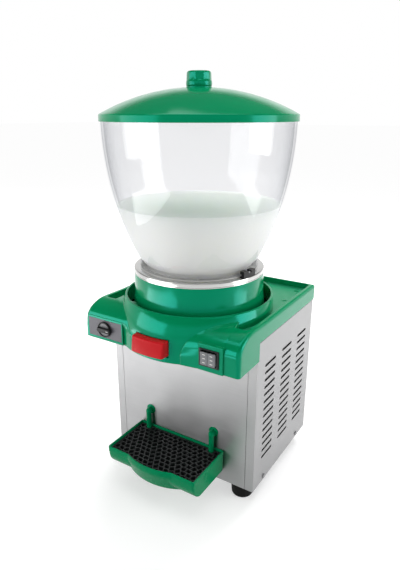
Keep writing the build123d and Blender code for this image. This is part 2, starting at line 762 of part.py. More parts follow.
def clamp_ring():
    ring = turned(polygon((RING_INNER_R, RING_BASE), (COLLAR_R, RING_BASE),
                          (COLLAR_R, RING_FACE - RING_ROUND), (COLLAR_R - RING_ROUND, RING_FACE),
                          (RING_INNER_R, RING_FACE)), AXIS)
    low = RING_FACE - LOCK_SCREW_DEPTH
    return ring - [post(LOCK_SCREW_R + FIT, p.X, p.Y, low, RING_FACE + 1) for p in lock_screw_places()]


def bowl_gasket():
    outer = BOWL_FOOT_R - GAP
    return turned(polygon((outer - GASKET_WIDTH, RING_FACE), (outer, RING_FACE), (outer, BOWL_BASE),
                          (outer - GASKET_WIDTH, BOWL_BASE)), AXIS)


def lock_middles():
    """Angles of the two bayonet locks, opposite each other."""
    return (LOCK_DEG, LOCK_DEG - 180)


def lock_radii():
    inner = BOWL_FOOT_R + 2 * GAP
    return inner, inner + LOCK_WIDTH


def lock_screw_places():
    outer = lock_radii()[1]
    return [on_axis_ring(outer - LOCK_SCREW_HEAD_R - GAP, middle, RING_FACE) for middle in lock_middles()]


def lock_blocks():
    """Two-lobed lock blocks. The slot under each is open at its front end, where the bowl's tab leaves."""
    inner, outer = lock_radii()
    base_top = RING_FACE + LOCK_BASE
    slot_r = BOWL_FOOT_R + TAB_REACH + 2 * GAP
    blocks = []
    for middle in lock_middles():
        lock = sector(inner, outer, RING_FACE, base_top, middle, LOCK_SPAN_DEG)
        for side in (-1, 1):
            shift = side * (LOCK_SPAN_DEG - LOCK_LUMP_DEG) / 2
            lock += sector(inner, outer, base_top, base_top + LOCK_LUMP, middle + shift, LOCK_LUMP_DEG)
        lock -= sector(inner - 1, slot_r, RING_FACE + GASKET_HEIGHT - GAP, BOWL_BASE + TAB_HEIGHT + GAP,
                       middle - LOCK_SLOT_WALL_DEG, LOCK_SPAN_DEG)
        blocks.append(lock)
    blocks = [lock - post(LOCK_SCREW_R + FIT, p.X, p.Y, RING_FACE - 1, base_top + 1)
              for lock, p in zip(blocks, lock_screw_places())]
    return group(blocks)


def lock_screws():
    base_top = RING_FACE + LOCK_BASE
    screws = []
    for p in lock_screw_places():
        shank = post(LOCK_SCREW_R, p.X, p.Y, RING_FACE - LOCK_SCREW_DEPTH, base_top)
        screws.append(shank + post(LOCK_SCREW_HEAD_R, p.X, p.Y, base_top, base_top + LOCK_SCREW_HEAD))
    return group(screws)


def bowl_wall(inset):
    """Bowl wall as a curve of (radius, height). It swells fast above the neck and is upright at the rim."""
    points = []
    for step in range(BOWL_SPANS + 1):
        share = step / BOWL_SPANS
        swell = (1 - (1 - share) ** BOWL_SWELL) ** BOWL_FULLNESS
        radius = BOWL_NECK_R + (BOWL_RIM_R - BOWL_NECK_R) * swell - inset
        points.append((radius, BOWL_WALL_Z + (BOWL_TOP - BOWL_WALL_Z) * share))
    return Spline(*points)


def bowl():
    outer = bowl_wall(0.0)
    inner = bowl_wall(BOWL_WALL)
    foot = Polyline(outer @ 0, (BOWL_FOOT_R, BOWL_WALL_Z), (BOWL_FOOT_R, BOWL_BASE),
                    (BOWL_NECK_R - BOWL_WALL, BOWL_BASE), inner @ 0)
    shell = turned([outer, Line(outer @ 1, inner @ 1), inner, foot], AXIS)
    for middle in lock_middles():
        shell += sector(BOWL_FOOT_R - 1, BOWL_FOOT_R + TAB_REACH, BOWL_BASE, BOWL_BASE + TAB_HEIGHT,
                        middle - LOCK_SLOT_WALL_DEG, TAB_SPAN_DEG)
    return shell


# Lid

def dome(edge_r, edge_z, crown_z):
    """Shallow round dome from its crown on the axis down to its edge, as an arc of (radius, height)."""
    rise = crown_z - edge_z
    ball = (edge_r**2 + rise**2) / (2 * rise)
    half_r = edge_r / 2
    half_z = crown_z - ball + math.sqrt(ball**2 - half_r**2)
    return ThreePointArc((0, crown_z), (half_r, half_z), (edge_r, edge_z))


def lid_shell():
    inner = LID_R - LID_SKIRT
    seat = BOWL_RIM_R - LID_SEAT
    outline = [dome(LID_R, LID_SHOULDER, LID_CROWN),
               Polyline((LID_R, LID_SHOULDER), (LID_R, LID_BOTTOM), (inner, LID_BOTTOM), (inner, BOWL_TOP),
                        (seat, BOWL_TOP)),
               dome(seat, BOWL_TOP, LID_CROWN - LID_WALL),
               Line((0, LID_CROWN - LID_WALL), (0, LID_CROWN))]
    shell = turned(outline, AXIS)
    shell += post(LID_BOSS_R, 0, AXIS, LID_UNDER, LID_BOSS_TOP)
    return shell - post(LID_SCREW_R + FIT, 0, AXIS, LID_UNDER - 1, LID_BOSS_TOP + 1)


def lid_knob():
    height = LID_KNOB_TOP - LID_BOSS_TOP
    knob = extrude(RegularPolygon(LID_KNOB_R, LID_KNOB_SIDES), amount=height, taper=LID_KNOB_TAPER)
    knob = fillet(knob.edges().group_by(Axis.Z)[-1], LID_KNOB_ROUND)
    knob = Pos(0, AXIS, LID_BOSS_TOP) * knob
    return knob - post(LID_SCREW_R + FIT, 0, AXIS, LID_BOSS_TOP - 1, LID_BOSS_TOP + LID_SCREW_GRIP + 1)


def lid_screw():
    screw = post(LID_SCREW_HEAD_R, 0, AXIS, LID_UNDER - LID_SCREW_HEAD, LID_UNDER)
    return screw + post(LID_SCREW_R, 0, AXIS, LID_UNDER, LID_BOSS_TOP + LID_SCREW_GRIP)


# Drip tray and grate

def tray_nose():
    """Middle and radius of the bowed nose in plan."""
    chord = TRAY_BOW_WIDTH / 2
    radius = (chord**2 + TRAY_BOW**2) / (2 * TRAY_BOW)
    return TRAY_WING - TRAY_BOW + radius, radius


def tray_plan(inset):
    """Plan of the tray: a rectangle with a bowed nose."""
    half = TRAY_WIDTH / 2 - inset
    plan = Pos(0, TRAY_REAR - TRAY_DEPTH / 2) * Rectangle(2 * half, TRAY_DEPTH - 2 * inset)
    nose_y, nose_r = tray_nose()
    nose = Pos(0, nose_y) * Circle(nose_r - inset)
    front_half = Pos(0, TRAY_WING) * Rectangle(2 * half, TRAY_DEPTH)
    return plan + (nose & front_half)


def tray_form(inset, bottom, top):
    """Solid tray. The front of its floor rolls up, except in the bowed nose, which has a conical belly."""
    form = extrude(Pos(0, 0, bottom) * tray_plan(inset), amount=top - bottom)
    centre_y = TRAY_WING + TRAY_ROLL_R
    centre_z = TRAY_BOTTOM + TRAY_ROLL_R
    reach = TRAY_WIDTH / 2 + 1
    roll = block(-reach, reach, TRAY_WING - TRAY_BOW - 1, centre_y, TRAY_BOTTOM - 1, centre_z)
    roll -= rod_x(TRAY_ROLL_R - inset, -reach - 1, reach + 1, centre_y, centre_z)
    nose_y, nose_r = tray_nose()
    belly = Cone(nose_r - TRAY_BELLY_DRAFT - inset, nose_r - inset, TRAY_ROLL_R)
    roll -= Pos(0, nose_y, TRAY_BOTTOM + TRAY_ROLL_R / 2) * belly
    return form - roll


def drip_tray():
    tray = tray_form(0.0, TRAY_BOTTOM, TRAY_TOP)
    tray -= extrude(Pos(0, 0, GRATE_BOTTOM) * tray_plan(TRAY_WALL), amount=TRAY_TOP)
    tray -= tray_form(TRAY_WALL + TRAY_LEDGE, TRAY_BOTTOM + TRAY_WALL, TRAY_TOP)
    hook = post(HOOK_R, HOOK_X, HOOK_Y, TRAY_BOTTOM + TRAY_WALL / 2, HOOK_Z)
    hook += Pos(HOOK_X, HOOK_Y, HOOK_Z) * Sphere(HOOK_KNUCKLE_R)
    hook += rod_y(HOOK_R, HOOK_X, HOOK_Y, FRONT + HOOK_REACH, HOOK_Z)
    return tray + hook + mirrored(hook)


def shifted_corner(x, y):
    """Corner of the grate's honeycomb, moved by a fixed irregular amount so that the web looks cracked."""
    key = 0.93 * x + 1.71 * y
    return (x + GRATE_JITTER * math.sin(7.1 * key), y + GRATE_JITTER * math.cos(5.3 * key))


def grate_cell(x, y):
    """One opening of the grate, drawn in by half a web from its irregular hexagon."""
    side = GRATE_CELL / math.sqrt(3)
    corners = []
    for k in range(6):
        angle = math.radians(30 + 60 * k)
        corner_x = round(x + side * math.cos(angle), 3)
        corner_y = round(y + side * math.sin(angle), 3)
        corners.append(shifted_corner(corner_x, corner_y))
    keep = 1 - GRATE_WEB / GRATE_CELL
    return Polygon(*[(x + keep * (cx - x), y + keep * (cy - y)) for cx, cy in corners], align=None)


def drip_grate():
    inset = TRAY_WALL + GRATE_CLEAR
    plate = tray_plan(inset)
    row_pitch = GRATE_CELL * math.sqrt(3) / 2
    rows = int((TRAY_DEPTH + TRAY_BOW) / row_pitch) + 2
    columns = int(TRAY_WIDTH / GRATE_CELL) + 2
    holes = Sketch()
    cells = []
    for row in range(rows):
        for column in range(columns):
            x = (column - columns / 2 + 0.5 * (row % 2)) * GRATE_CELL
            cells.append(grate_cell(x, TRAY_REAR - row * row_pitch))
    holes += cells
    holes &= tray_plan(inset + GRATE_RIM)
    notch = HOOK_R + GRATE_CLEAR
    for x in (-HOOK_X, HOOK_X):
        frame = Pos(x, HOOK_Y) * Rectangle(2 * (notch + GRATE_RIM), 2 * (notch + GRATE_RIM))
        holes -= frame
        plate -= Pos(x, (HOOK_Y - notch + FRONT) / 2) * Rectangle(2 * notch, FRONT - HOOK_Y + notch)
    return extrude(Pos(0, 0, GRATE_BOTTOM) * (plate - holes), amount=GRATE_HEIGHT)


def tray_grommets():
    rings = []
    for x in (-HOOK_X, HOOK_X):
        ring = rod_y(GROMMET_FLANGE_R, x, FRONT - GROMMET_FLANGE, FRONT, HOOK_Z)
        ring += rod_y(GROMMET_HOLE_R - FIT, x, FRONT, FRONT + SHEET, HOOK_Z)
        ring += rod_y(GROMMET_FLANGE_R, x, FRONT + SHEET, FRONT + SHEET + GROMMET_FLANGE, HOOK_Z)
        rings.append(ring - rod_y(HOOK_R + GAP, x, FRONT - 5, FRONT + 10, HOOK_Z))
    return group(rings)


# Dispensing lever and valve

def press_lever():
    paddle = turned(polygon((LEVER_BACK_R, LEVER_BOTTOM), (LEVER_BOTTOM_R, LEVER_BOTTOM),
                            (LEVER_TOP_R, LEVER_TOP), (LEVER_BACK_R, LEVER_TOP)), AXIS)
    half = LEVER_WIDTH / 2
    paddle &= block(-half, half, AXIS - LEVER_BOTTOM_R - 1, AXIS - LEVER_BACK_R / 2, LEVER_BOTTOM, LEVER_TOP)
    barrel_half = BARREL_WIDTH / 2
    lever = paddle + block(-barrel_half, barrel_half, AXIS - LEVER_BACK_R - 2, PIVOT, PIVOT_Z - FINGER_THICK,
                           PIVOT_Z + FINGER_THICK / 2)
    lever += rod_x(BARREL_R, -barrel_half, barrel_half, PIVOT, PIVOT_Z)
    lever += block(-FINGER_WIDTH / 2, FINGER_WIDTH / 2, PIVOT, VALVE + FINGER_PAST,
                   FINGER_TOP - FINGER_THICK, FINGER_TOP)
    slot = PLUNGER_R + 2 * GAP
    lever -= block(-slot, slot, VALVE - slot, VALVE + PLUNGER_HEAD_R,
                   FINGER_TOP - FINGER_THICK - 1, FINGER_TOP + 1)
    return lever - rod_x(PIN_R + RUN, -barrel_half - 1, barrel_half + 1, PIVOT, PIVOT_Z)


def lever_bracket():
    outer = EAR_X + EAR_SHEET
    front = PIVOT - EAR_LENGTH / 2
    base_top = VALVE_TOP + EAR_SHEET
    bracket = block(-outer, outer, front, VALVE + CHAMBER_R, VALVE_TOP, base_top)
    ear = block(EAR_X, outer, front, front + EAR_LENGTH, base_top, PIVOT_Z + BARREL_R)
    bracket += ear + mirrored(ear)
    bracket -= rod_x(PIN_R + FIT, -outer - 1, outer + 1, PIVOT, PIVOT_Z)
    return bracket - post(PLUNGER_R + 2 * GAP, 0, VALVE, VALVE_TOP - 1, base_top + 1)


def lever_pin():
    reach = EAR_X + EAR_SHEET + 1
    return rod_x(PIN_R, -reach, reach, PIVOT, PIVOT_Z)


def lever_spring():
    """Torsion spring wound round the pin, beside the lever's barrel."""
    radius = PIN_R + GAP + SPRING_WIRE_R
    start_x = BARREL_WIDTH / 2 + (EAR_GAP - SPRING_TURNS * SPRING_PITCH) / 2
    steps = 4 * SPRING_TURNS
    slope = SPRING_PITCH / (2 * math.pi)

    def place(step):
        angle = math.pi / 2 * step
        y = PIVOT + radius * math.cos(angle)
        z = PIVOT_Z + radius * math.sin(angle)
        return Vector(start_x + slope * angle, y, z)

    def heading(step):
        angle = math.pi / 2 * step
        return Vector(slope, -radius * math.sin(angle), radius * math.cos(angle)).normalized()

    edges = []
    for step in range(steps):
        edges += biarc(place(step), heading(step), place(step + 1), heading(step + 1))
    print("lever spring least self gap", round(least_self_gap(edges, SPRING_WIRE_R, 2 * radius), 2))
    return tube_along(edges, SPRING_WIRE_R)


def valve_body():
    body = post(VALVE_R, 0, VALVE, FLOOR_TOP, VALVE_TOP)
    body += post(NOZZLE_R, 0, VALVE, NOZZLE_BOTTOM, FLOOR_TOP)
    body += rod_y(INLET_R, 0, VALVE, VALVE + VALVE_R + INLET_REACH, INLET_Z)
    body -= post(CHAMBER_R, 0, VALVE, VALVE_SEAT_Z, CHAMBER_TOP)
    body -= post(NOZZLE_BORE_R, 0, VALVE, NOZZLE_BOTTOM - 1, VALVE_SEAT_Z)
    body -= post(PLUNGER_R + RUN, 0, VALVE, CHAMBER_TOP, VALVE_TOP + 1)
    return body - rod_y(INLET_BORE_R, 0, VALVE, VALVE + VALVE_R + INLET_REACH + 1, INLET_Z)


def valve_plunger():
    head_bottom = FINGER_TOP + GAP
    plunger = post(PLUNGER_SEAL_R, 0, VALVE, VALVE_SEAT_Z, VALVE_SEAT_Z + PLUNGER_SEAL)
    plunger += post(PLUNGER_R, 0, VALVE, VALVE_SEAT_Z, head_bottom)
    return plunger + post(PLUNGER_HEAD_R, 0, VALVE, head_bottom, head_bottom + PLUNGER_HEAD)


def outlet_hose():
    start = (0, VALVE + VALVE_R + GAP, INLET_Z)
    corner = (0, OUTLET, INLET_Z)
    end = (0, OUTLET, WELL_BOTTOM - GAP)
    path = FilletPolyline(start, corner, end, radius=HOSE_BEND)
    face = Plane(origin=start, z_dir=(0, 1, 0))
    hose = sweep(face * Circle(HOSE_R), path=path)
    return hose - sweep(face * Circle(INLET_R + FIT), path=path)


# Thermostat and switch

def thermostat_plate():
    half_w = THERMO_PLATE_W / 2
    half_h = THERMO_PLATE_H / 2
    plate = block(THERMO_X - half_w, THERMO_X + half_w, LOBE_FRONT, LOBE_FRONT + THERMO_PLATE,
                  THERMO_Z - half_h, THERMO_Z + half_h)
    back = LOBE_FRONT + THERMO_PLATE
    return plate - rod_y(THERMO_BUSH_R + FIT, THERMO_X, LOBE_FRONT - 1, back + 1, THERMO_Z)


def thermostat_body():
    half_w = THERMO_BODY_W / 2
    half_h = THERMO_BODY_H / 2
    back_of_wall = LOBE_FRONT + COVER_WALL
    body = block(THERMO_X - half_w, THERMO_X + half_w, back_of_wall, back_of_wall + THERMO_BODY_D,
                 THERMO_Z - half_h, THERMO_Z + half_h)
    body += rod_y(THERMO_BUSH_R, THERMO_X, LOBE_FRONT, back_of_wall, THERMO_Z)
    bore_end = back_of_wall + THERMO_BODY_D / 2
    return body - rod_y(THERMO_STEM_R + RUN, THERMO_X, LOBE_FRONT - 1, bore_end, THERMO_Z)


def thermostat_knob():
    rear = LOBE_FRONT - GAP
    base_front = rear - KNOB_BASE
    knob = rod_y(KNOB_R, THERMO_X, base_front, rear, THERMO_Z)
    grip = block(THERMO_X - KNOB_R, THERMO_X + KNOB_R, base_front - KNOB_GRIP, base_front,
                 THERMO_Z - KNOB_GRIP_W / 2, THERMO_Z + KNOB_GRIP_W / 2)
    knob += grip & rod_y(KNOB_R, THERMO_X, base_front - KNOB_GRIP, base_front, THERMO_Z)
    stem_end = LOBE_FRONT + COVER_WALL + THERMO_BODY_D / 3
    return knob + rod_y(THERMO_STEM_R, THERMO_X, rear, stem_end, THERMO_Z)


def switch_face():
    return LOBE_FRONT - SWITCH_PAD


def switch_case(room):
    """Case of the switch behind its flange, grown by a little room for the cut-out in the cover."""
    half_w = SWITCH_W / 2 - SWITCH_FRAME + SWITCH_WALL + room
    half_h = SWITCH_H / 2 - SWITCH_FRAME + SWITCH_WALL + room
    return block(SWITCH_X - half_w, SWITCH_X + half_w, switch_face(), switch_face() + SWITCH_DEPTH,
                 SWITCH_Z - half_h, SWITCH_Z + half_h)


def rocker_axis_y():
    return switch_face() - SWITCH_FLANGE + ROCKER_PIN_SINK


def switch_body():
    face = switch_face()
    half_w = SWITCH_W / 2
    half_h = SWITCH_H / 2
    body = switch_case(0.0)
    body += block(SWITCH_X - half_w, SWITCH_X + half_w, face - SWITCH_FLANGE, face,
                  SWITCH_Z - half_h, SWITCH_Z + half_h)
    in_w = half_w - SWITCH_FRAME
    in_h = half_h - SWITCH_FRAME
    body -= block(SWITCH_X - in_w, SWITCH_X + in_w, face - SWITCH_FLANGE - 1, face + SWITCH_POCKET,
                  SWITCH_Z - in_h, SWITCH_Z + in_h)
    return body + rod_x(ROCKER_PIN_R, SWITCH_X - in_w, SWITCH_X + in_w, rocker_axis_y(), SWITCH_Z)


def rocker(side):
    """One of the two rockers side by side on the cross pin, with a dished front."""
    front = switch_face() - SWITCH_FLANGE - ROCKER_PROUD
    half_h = SWITCH_H / 2 - SWITCH_FRAME - ROCKER_SHORT
    back = front + ROCKER_DEPTH
    outline = polygon((front, -half_h), (front + ROCKER_DISH, 0), (front, half_h), (back, half_h * 0.7),
                      (back, -half_h * 0.7))
    width = SWITCH_W / 2 - SWITCH_FRAME - 2 * GAP
    start = SWITCH_X + GAP if side > 0 else SWITCH_X - GAP - width
    body = Pos(start, 0, SWITCH_Z) * extrude(Plane.YZ * make_face(outline), amount=width)
    return body - rod_x(ROCKER_PIN_R + RUN, start - 1, start + width + 1, rocker_axis_y(), SWITCH_Z)


# Mixer

def mixer_motor():
    motor = post(MIXER_R, 0, AXIS, MIXER_TOP - MIXER_HEIGHT, MIXER_TOP)
    return motor - post(SHAFT_R + RUN, 0, AXIS, MIXER_TOP - MIXER_HEIGHT / 2, MIXER_TOP + 1)


def mixer_bracket():
    plate_top = MIXER_TOP + MIXER_PLATE
    bracket = post(MIXER_PLATE_R, 0, AXIS, MIXER_TOP, plate_top)
    for angle in (45, 135, 225, 315):
        p = on_axis_ring(MIXER_PLATE_R - MIXER_POST_INSET, angle, plate_top)
        bracket += post(MIXER_POST_R, p.X, p.Y, plate_top, DECK_Z)
    return bracket - post(SHAFT_R + 1, 0, AXIS, MIXER_TOP - 1, plate_top + 1)


def mixer_shaft():
    return post(SHAFT_R, 0, AXIS, MIXER_TOP - MIXER_HEIGHT / 3, SHAFT_TOP)


def shaft_seal():
    well_floor = WELL_BOTTOM + WELL_SHEET
    seal = post(SEAL_R, 0, AXIS, DECK_TOP, well_floor)
    seal += post(SEAL_FLANGE_R, 0, AXIS, well_floor, well_floor + SEAL_FLANGE)
    return seal - post(SHAFT_R + RUN, 0, AXIS, DECK_TOP - 1, well_floor + SEAL_FLANGE + 1)


def agitator():
    stirrer = post(AGITATOR_HUB_R, 0, AXIS, AGITATOR_BOTTOM, AGITATOR_TOP)
    blade_bottom = AGITATOR_BOTTOM + AGITATOR_BLADE
    blade_top = AGITATOR_TOP - 2 * AGITATOR_BLADE
    for k in range(AGITATOR_BLADES):
        blade = block(AGITATOR_HUB_R / 2, AGITATOR_R, -AGITATOR_BLADE / 2, AGITATOR_BLADE / 2,
                      blade_bottom, blade_top)
        stirrer += Pos(0, AXIS, 0) * Rot(0, 0, 360 / AGITATOR_BLADES * k) * blade
    return stirrer - post(SHAFT_R + FIT, 0, AXIS, AGITATOR_BOTTOM - 1, SHAFT_TOP + FIT)


# Evaporator, foam and cooling unit

def coil_point(degrees):
    rise = COIL_PITCH * (degrees - COIL_START_DEG) / 360
    return on_axis_ring(COIL_R, degrees, COIL_START_Z + rise)


def coil_heading(degrees):
    angle = math.radians(degrees)
    climb = COIL_PITCH / (2 * math.pi * COIL_R)
    return Vector(math.cos(angle), math.sin(angle), climb).normalized()


def coil_tails():
    """Where the feed rises and the return falls, beside the coil."""
    start = coil_point(COIL_START_DEG)
    heading = coil_heading(COIL_START_DEG)
    feed = start - heading * COIL_BEND
    end_deg = COIL_START_DEG + COIL_SWEEP_DEG
    return_z = coil_point(end_deg).Z - COIL_BEND
    back = on_axis_ring(COIL_R + COIL_RETURN_OUT, end_deg + COIL_RETURN_DEG, return_z)
    return Vector(feed.X, feed.Y, COIL_START_Z - COIL_BEND), back


def evaporator_coil():
    """Copper tube wound round the well, from the drier to the compressor, in one length."""
    feed, back = coil_tails()
    up = Vector(0, 0, 1)
    step = COIL_SWEEP_DEG / COIL_STEPS
    stops = [COIL_START_DEG + step * k for k in range(COIL_STEPS + 1)]
    edges = [Line(Vector(feed.X, feed.Y, DRIER_TOP), feed)]
    edges += biarc(feed, up, coil_point(stops[0]), coil_heading(stops[0]))
    for a, b in zip(stops, stops[1:]):
        edges += biarc(coil_point(a), coil_heading(a), coil_point(b), coil_heading(b))
    edges += biarc(coil_point(stops[-1]), coil_heading(stops[-1]), back, up * -1)
    edges.append(Line(back, Vector(back.X, back.Y, COMP_TOP + COMP_STUB)))
    print("evaporator coil least self gap", round(least_self_gap(edges, COIL_TUBE_R, COIL_R), 2))
    return tube_along(edges, COIL_TUBE_R)


def well_insulation():
    foam = turned(polygon((0, DECK_TOP), (FOAM_OUTER_R, DECK_TOP), (FOAM_OUTER_R, COLLAR_TOP),
                          (FOAM_INNER_R, COLLAR_TOP), (FOAM_INNER_R, WELL_BOTTOM), (0, WELL_BOTTOM)), AXIS)
    foam -= post(SEAL_R + FOAM_HOLE_ROOM, 0, AXIS, DECK_TOP - 1, WELL_BOTTOM + 1)
    foam -= post(HOSE_R + FOAM_HOLE_ROOM, 0, OUTLET, DECK_TOP - 1, WELL_BOTTOM + 1)
    feed, back = coil_tails()
    foam -= post(COIL_TUBE_R + FOAM_HOLE_ROOM, feed.X, feed.Y, DECK_TOP - 1, WELL_BOTTOM + 1)
    foam -= post(COIL_TUBE_R + FOAM_HOLE_ROOM / 2, back.X, back.Y, DECK_TOP - 1, COLLAR_TOP + 1)
    return foam - post(2 * COIL_BEND, back.X, back.Y, back.Z - COIL_BEND, COLLAR_TOP + 1)


def filter_drier():
    feed = coil_tails()[0]
    bottom = DRIER_TOP - DRIER_LENGTH
    taper = DRIER_R - LINE_R
    drier = turned(polygon((0, bottom), (LINE_R, bottom), (DRIER_R, bottom + taper),
                           (DRIER_R, DRIER_TOP - taper), (LINE_R, DRIER_TOP), (0, DRIER_TOP)))
    return Pos(feed.X, feed.Y, 0) * drier


def line_tube(points):
    """Refrigerant line along straight runs with round bends."""
    path = FilletPolyline(*points, radius=LINE_BEND)
    return sweep(Plane(origin=path @ 0, z_dir=path % 0) * Circle(LINE_R), path=path)


def liquid_line():
    feed = coil_tails()[0]
    back = FRONT + LINE_BACK_Y
    return line_tube([(feed.X, feed.Y, DRIER_TOP - DRIER_LENGTH), (feed.X, feed.Y, LIQUID_Z),
                      (feed.X, back, LIQUID_Z), (COND_LINE_X, back, LIQUID_Z),
                      (COND_LINE_X, FRONT + COND_Y1, LIQUID_Z)])


def discharge_line():
    y = FRONT + DISCHARGE_Y
    back = FRONT + LINE_BACK_Y
    return line_tube([(DISCHARGE_X, y, COMP_TOP + COMP_STUB), (DISCHARGE_X, y, DISCHARGE_Z),
                      (DISCHARGE_X, back, DISCHARGE_Z), (COND_LINE_X, back, DISCHARGE_Z),
                      (COND_LINE_X, FRONT + COND_Y1, DISCHARGE_Z)])


def mount_places():
    half_w = COMP_PLATE_W / 2 - MOUNT_INSET
    half_d = COMP_PLATE_D / 2 - MOUNT_INSET
    return [(COMP_X + i * half_w, FRONT + COMP_Y + j * half_d) for i in (-1, 1) for j in (-1, 1)]


def compressor():
    plate_top = COMP_BOTTOM + COMP_PLATE
    y = FRONT + COMP_Y
    knee = COMP_TOP - COMP_DOME
    bulge = ((COMP_FLAT_R + COMP_R) / 2 + COMP_DOME / 5, knee + 0.7 * COMP_DOME)
    outline = [Line((0, plate_top), (COMP_R, plate_top)), Line((COMP_R, plate_top), (COMP_R, knee)),
               ThreePointArc((COMP_R, knee), bulge, (COMP_FLAT_R, COMP_TOP)),
               Line((COMP_FLAT_R, COMP_TOP), (0, COMP_TOP)), Line((0, COMP_TOP), (0, plate_top))]
    shell = Pos(COMP_X, y, 0) * turned(outline)
    half_w = COMP_PLATE_W / 2
    half_d = COMP_PLATE_D / 2
    shell += block(COMP_X - half_w, COMP_X + half_w, y - half_d, y + half_d, COMP_BOTTOM, plate_top)
    back = coil_tails()[1]
    shell += post(COMP_STUB_R, back.X, back.Y, COMP_TOP - 1, COMP_TOP + COMP_STUB)
    return shell + post(COMP_STUB_R, DISCHARGE_X, FRONT + DISCHARGE_Y, COMP_TOP - 1, COMP_TOP + COMP_STUB)


def compressor_mounts():
    return group([post(MOUNT_R, x, y, PAN_FLOOR, COMP_BOTTOM) for x, y in mount_places()])


def condenser():
    y0 = FRONT + COND_Y0
    y1 = FRONT + COND_Y1
    x1 = COND_X0 + COND_DEPTH
    pitch = (y1 - y0 - COND_FIN) / (COND_FINS - 1)
    fin_ys = [y0 + k * pitch for k in range(COND_FINS)]
    pieces = [block(COND_X0, x1, y, y + COND_FIN, COND_Z0, COND_Z1) for y in fin_ys]
    rise = (COND_Z1 - COND_Z0) / COND_TUBES
    pieces += [rod_y(COND_TUBE_R, COND_LINE_X, y0, y1, COND_Z0 + rise * (k + 0.5)) for k in range(COND_TUBES)]
    pieces += [block(COND_X0, x1, y, y + COND_FIN, PAN_FLOOR, COND_Z0) for y in (y0, y1 - COND_FIN)]
    return group(pieces)


def fan_shroud():
    y0 = FRONT + COND_Y0 + SHROUD_MARGIN
    y1 = FRONT + COND_Y1 - SHROUD_MARGIN
    frame = block(SHROUD_X0, COND_X0, y0, y1, COND_Z0 + SHROUD_MARGIN, COND_Z1 - SHROUD_MARGIN)
    return frame - rod_x(SHROUD_HOLE_R, SHROUD_X0 - 1, COND_X0 + 1, FAN_CENTRE_Y, FAN_Z)


def fan_bracket():
    """Upright bar across the shroud that carries the fan motor."""
    low = COND_Z0 + SHROUD_MARGIN
    high = COND_Z1 - SHROUD_MARGIN
    y0 = FAN_CENTRE_Y - FAN_BAR_W / 2
    y1 = FAN_CENTRE_Y + FAN_BAR_W / 2
    bar = block(FAN_BAR_X0, FAN_BAR_X0 + FAN_BAR, y0, y1, low, high)
    foot = FAN_Z - SHROUD_HOLE_R - low
    bar += block(FAN_BAR_X0 + FAN_BAR, SHROUD_X0, y0, y1, low, low + foot)
    bar += block(FAN_BAR_X0 + FAN_BAR, SHROUD_X0, y0, y1, FAN_Z + SHROUD_HOLE_R, high)
    return bar - rod_x(FAN_SHAFT_R + 1, FAN_BAR_X0 - 1, FAN_BAR_X0 + FAN_BAR + 1, FAN_CENTRE_Y, FAN_Z)


def fan_motor():
    motor = rod_x(FAN_MOTOR_R, FAN_BAR_X0 - FAN_MOTOR_L, FAN_BAR_X0, FAN_CENTRE_Y, FAN_Z)
    return motor - rod_x(FAN_SHAFT_R + RUN, FAN_BAR_X0 - FAN_MOTOR_L / 2, FAN_BAR_X0 + 1, FAN_CENTRE_Y, FAN_Z)


def fan_blades():
    fan = rod_x(FAN_HUB_R, FAN_X - FAN_HUB / 2, FAN_X + FAN_HUB / 2, FAN_CENTRE_Y, FAN_Z)
    fan += rod_x(FAN_SHAFT_R, FAN_BAR_X0 - FAN_MOTOR_L / 3, FAN_X, FAN_CENTRE_Y, FAN_Z)
    inner = FAN_HUB_R - 2
    for k in range(FAN_BLADES):
        blade = Rot(0, 0, FAN_PITCH_DEG) * Box(FAN_BLADE, FAN_BLADE_W, FAN_R - inner)
        blade = Pos(0, 0, (inner + FAN_R) / 2) * blade
        fan += Pos(FAN_X, FAN_CENTRE_Y, FAN_Z) * Rot(360 / FAN_BLADES * k, 0, 0) * blade
    return fan


# Mains entry

def mains_body(room):
    half_w = INLET_MAINS_W / 2 - INLET_MAINS_FRAME / 2 + room
    half_h = INLET_MAINS_H / 2 - INLET_MAINS_FRAME / 2 + room
    return block(INLET_X - half_w, INLET_X + half_w, BACK - INLET_MAINS_DEPTH, BACK,
                 INLET_MAINS_Z - half_h, INLET_MAINS_Z + half_h)


def mains_inlet():
    half_w = INLET_MAINS_W / 2
    half_h = INLET_MAINS_H / 2
    face = BACK + INLET_MAINS_FLANGE
    inlet = mains_body(0.0)
    inlet += block(INLET_X - half_w, INLET_X + half_w, BACK, face,
                   INLET_MAINS_Z - half_h, INLET_MAINS_Z + half_h)
    in_w = half_w - INLET_MAINS_FRAME
    in_h = half_h - INLET_MAINS_FRAME
    floor = face - INLET_MAINS_POCKET
    inlet -= block(INLET_X - in_w, INLET_X + in_w, floor, face + 1,
                   INLET_MAINS_Z - in_h, INLET_MAINS_Z + in_h)
    for k in (-1, 0, 1):
        z = INLET_MAINS_Z + (INLET_PIN_R if k == 0 else -INLET_PIN_R)
        inlet += rod_y(INLET_PIN_R, INLET_X + k * INLET_PIN_PITCH, floor - 1, face - INLET_MAINS_FLANGE, z)
    return inlet


def terminal_block():
    y = FRONT + TERMINAL_Y
    half_w = TERMINAL_W / 2
    top = PAN_FLOOR + TERMINAL_H
    body = block(TERMINAL_X - half_w, TERMINAL_X + half_w, y, y + TERMINAL_D, PAN_FLOOR, top)
    pitch = TERMINAL_W / TERMINAL_WAYS
    for k in range(TERMINAL_WAYS):
        x = TERMINAL_X - half_w + pitch * (k + 0.5)
        body -= post(TERMINAL_HOLE_R, x, y + TERMINAL_D / 2, top - TERMINAL_H / 2, top + 1)
    return body


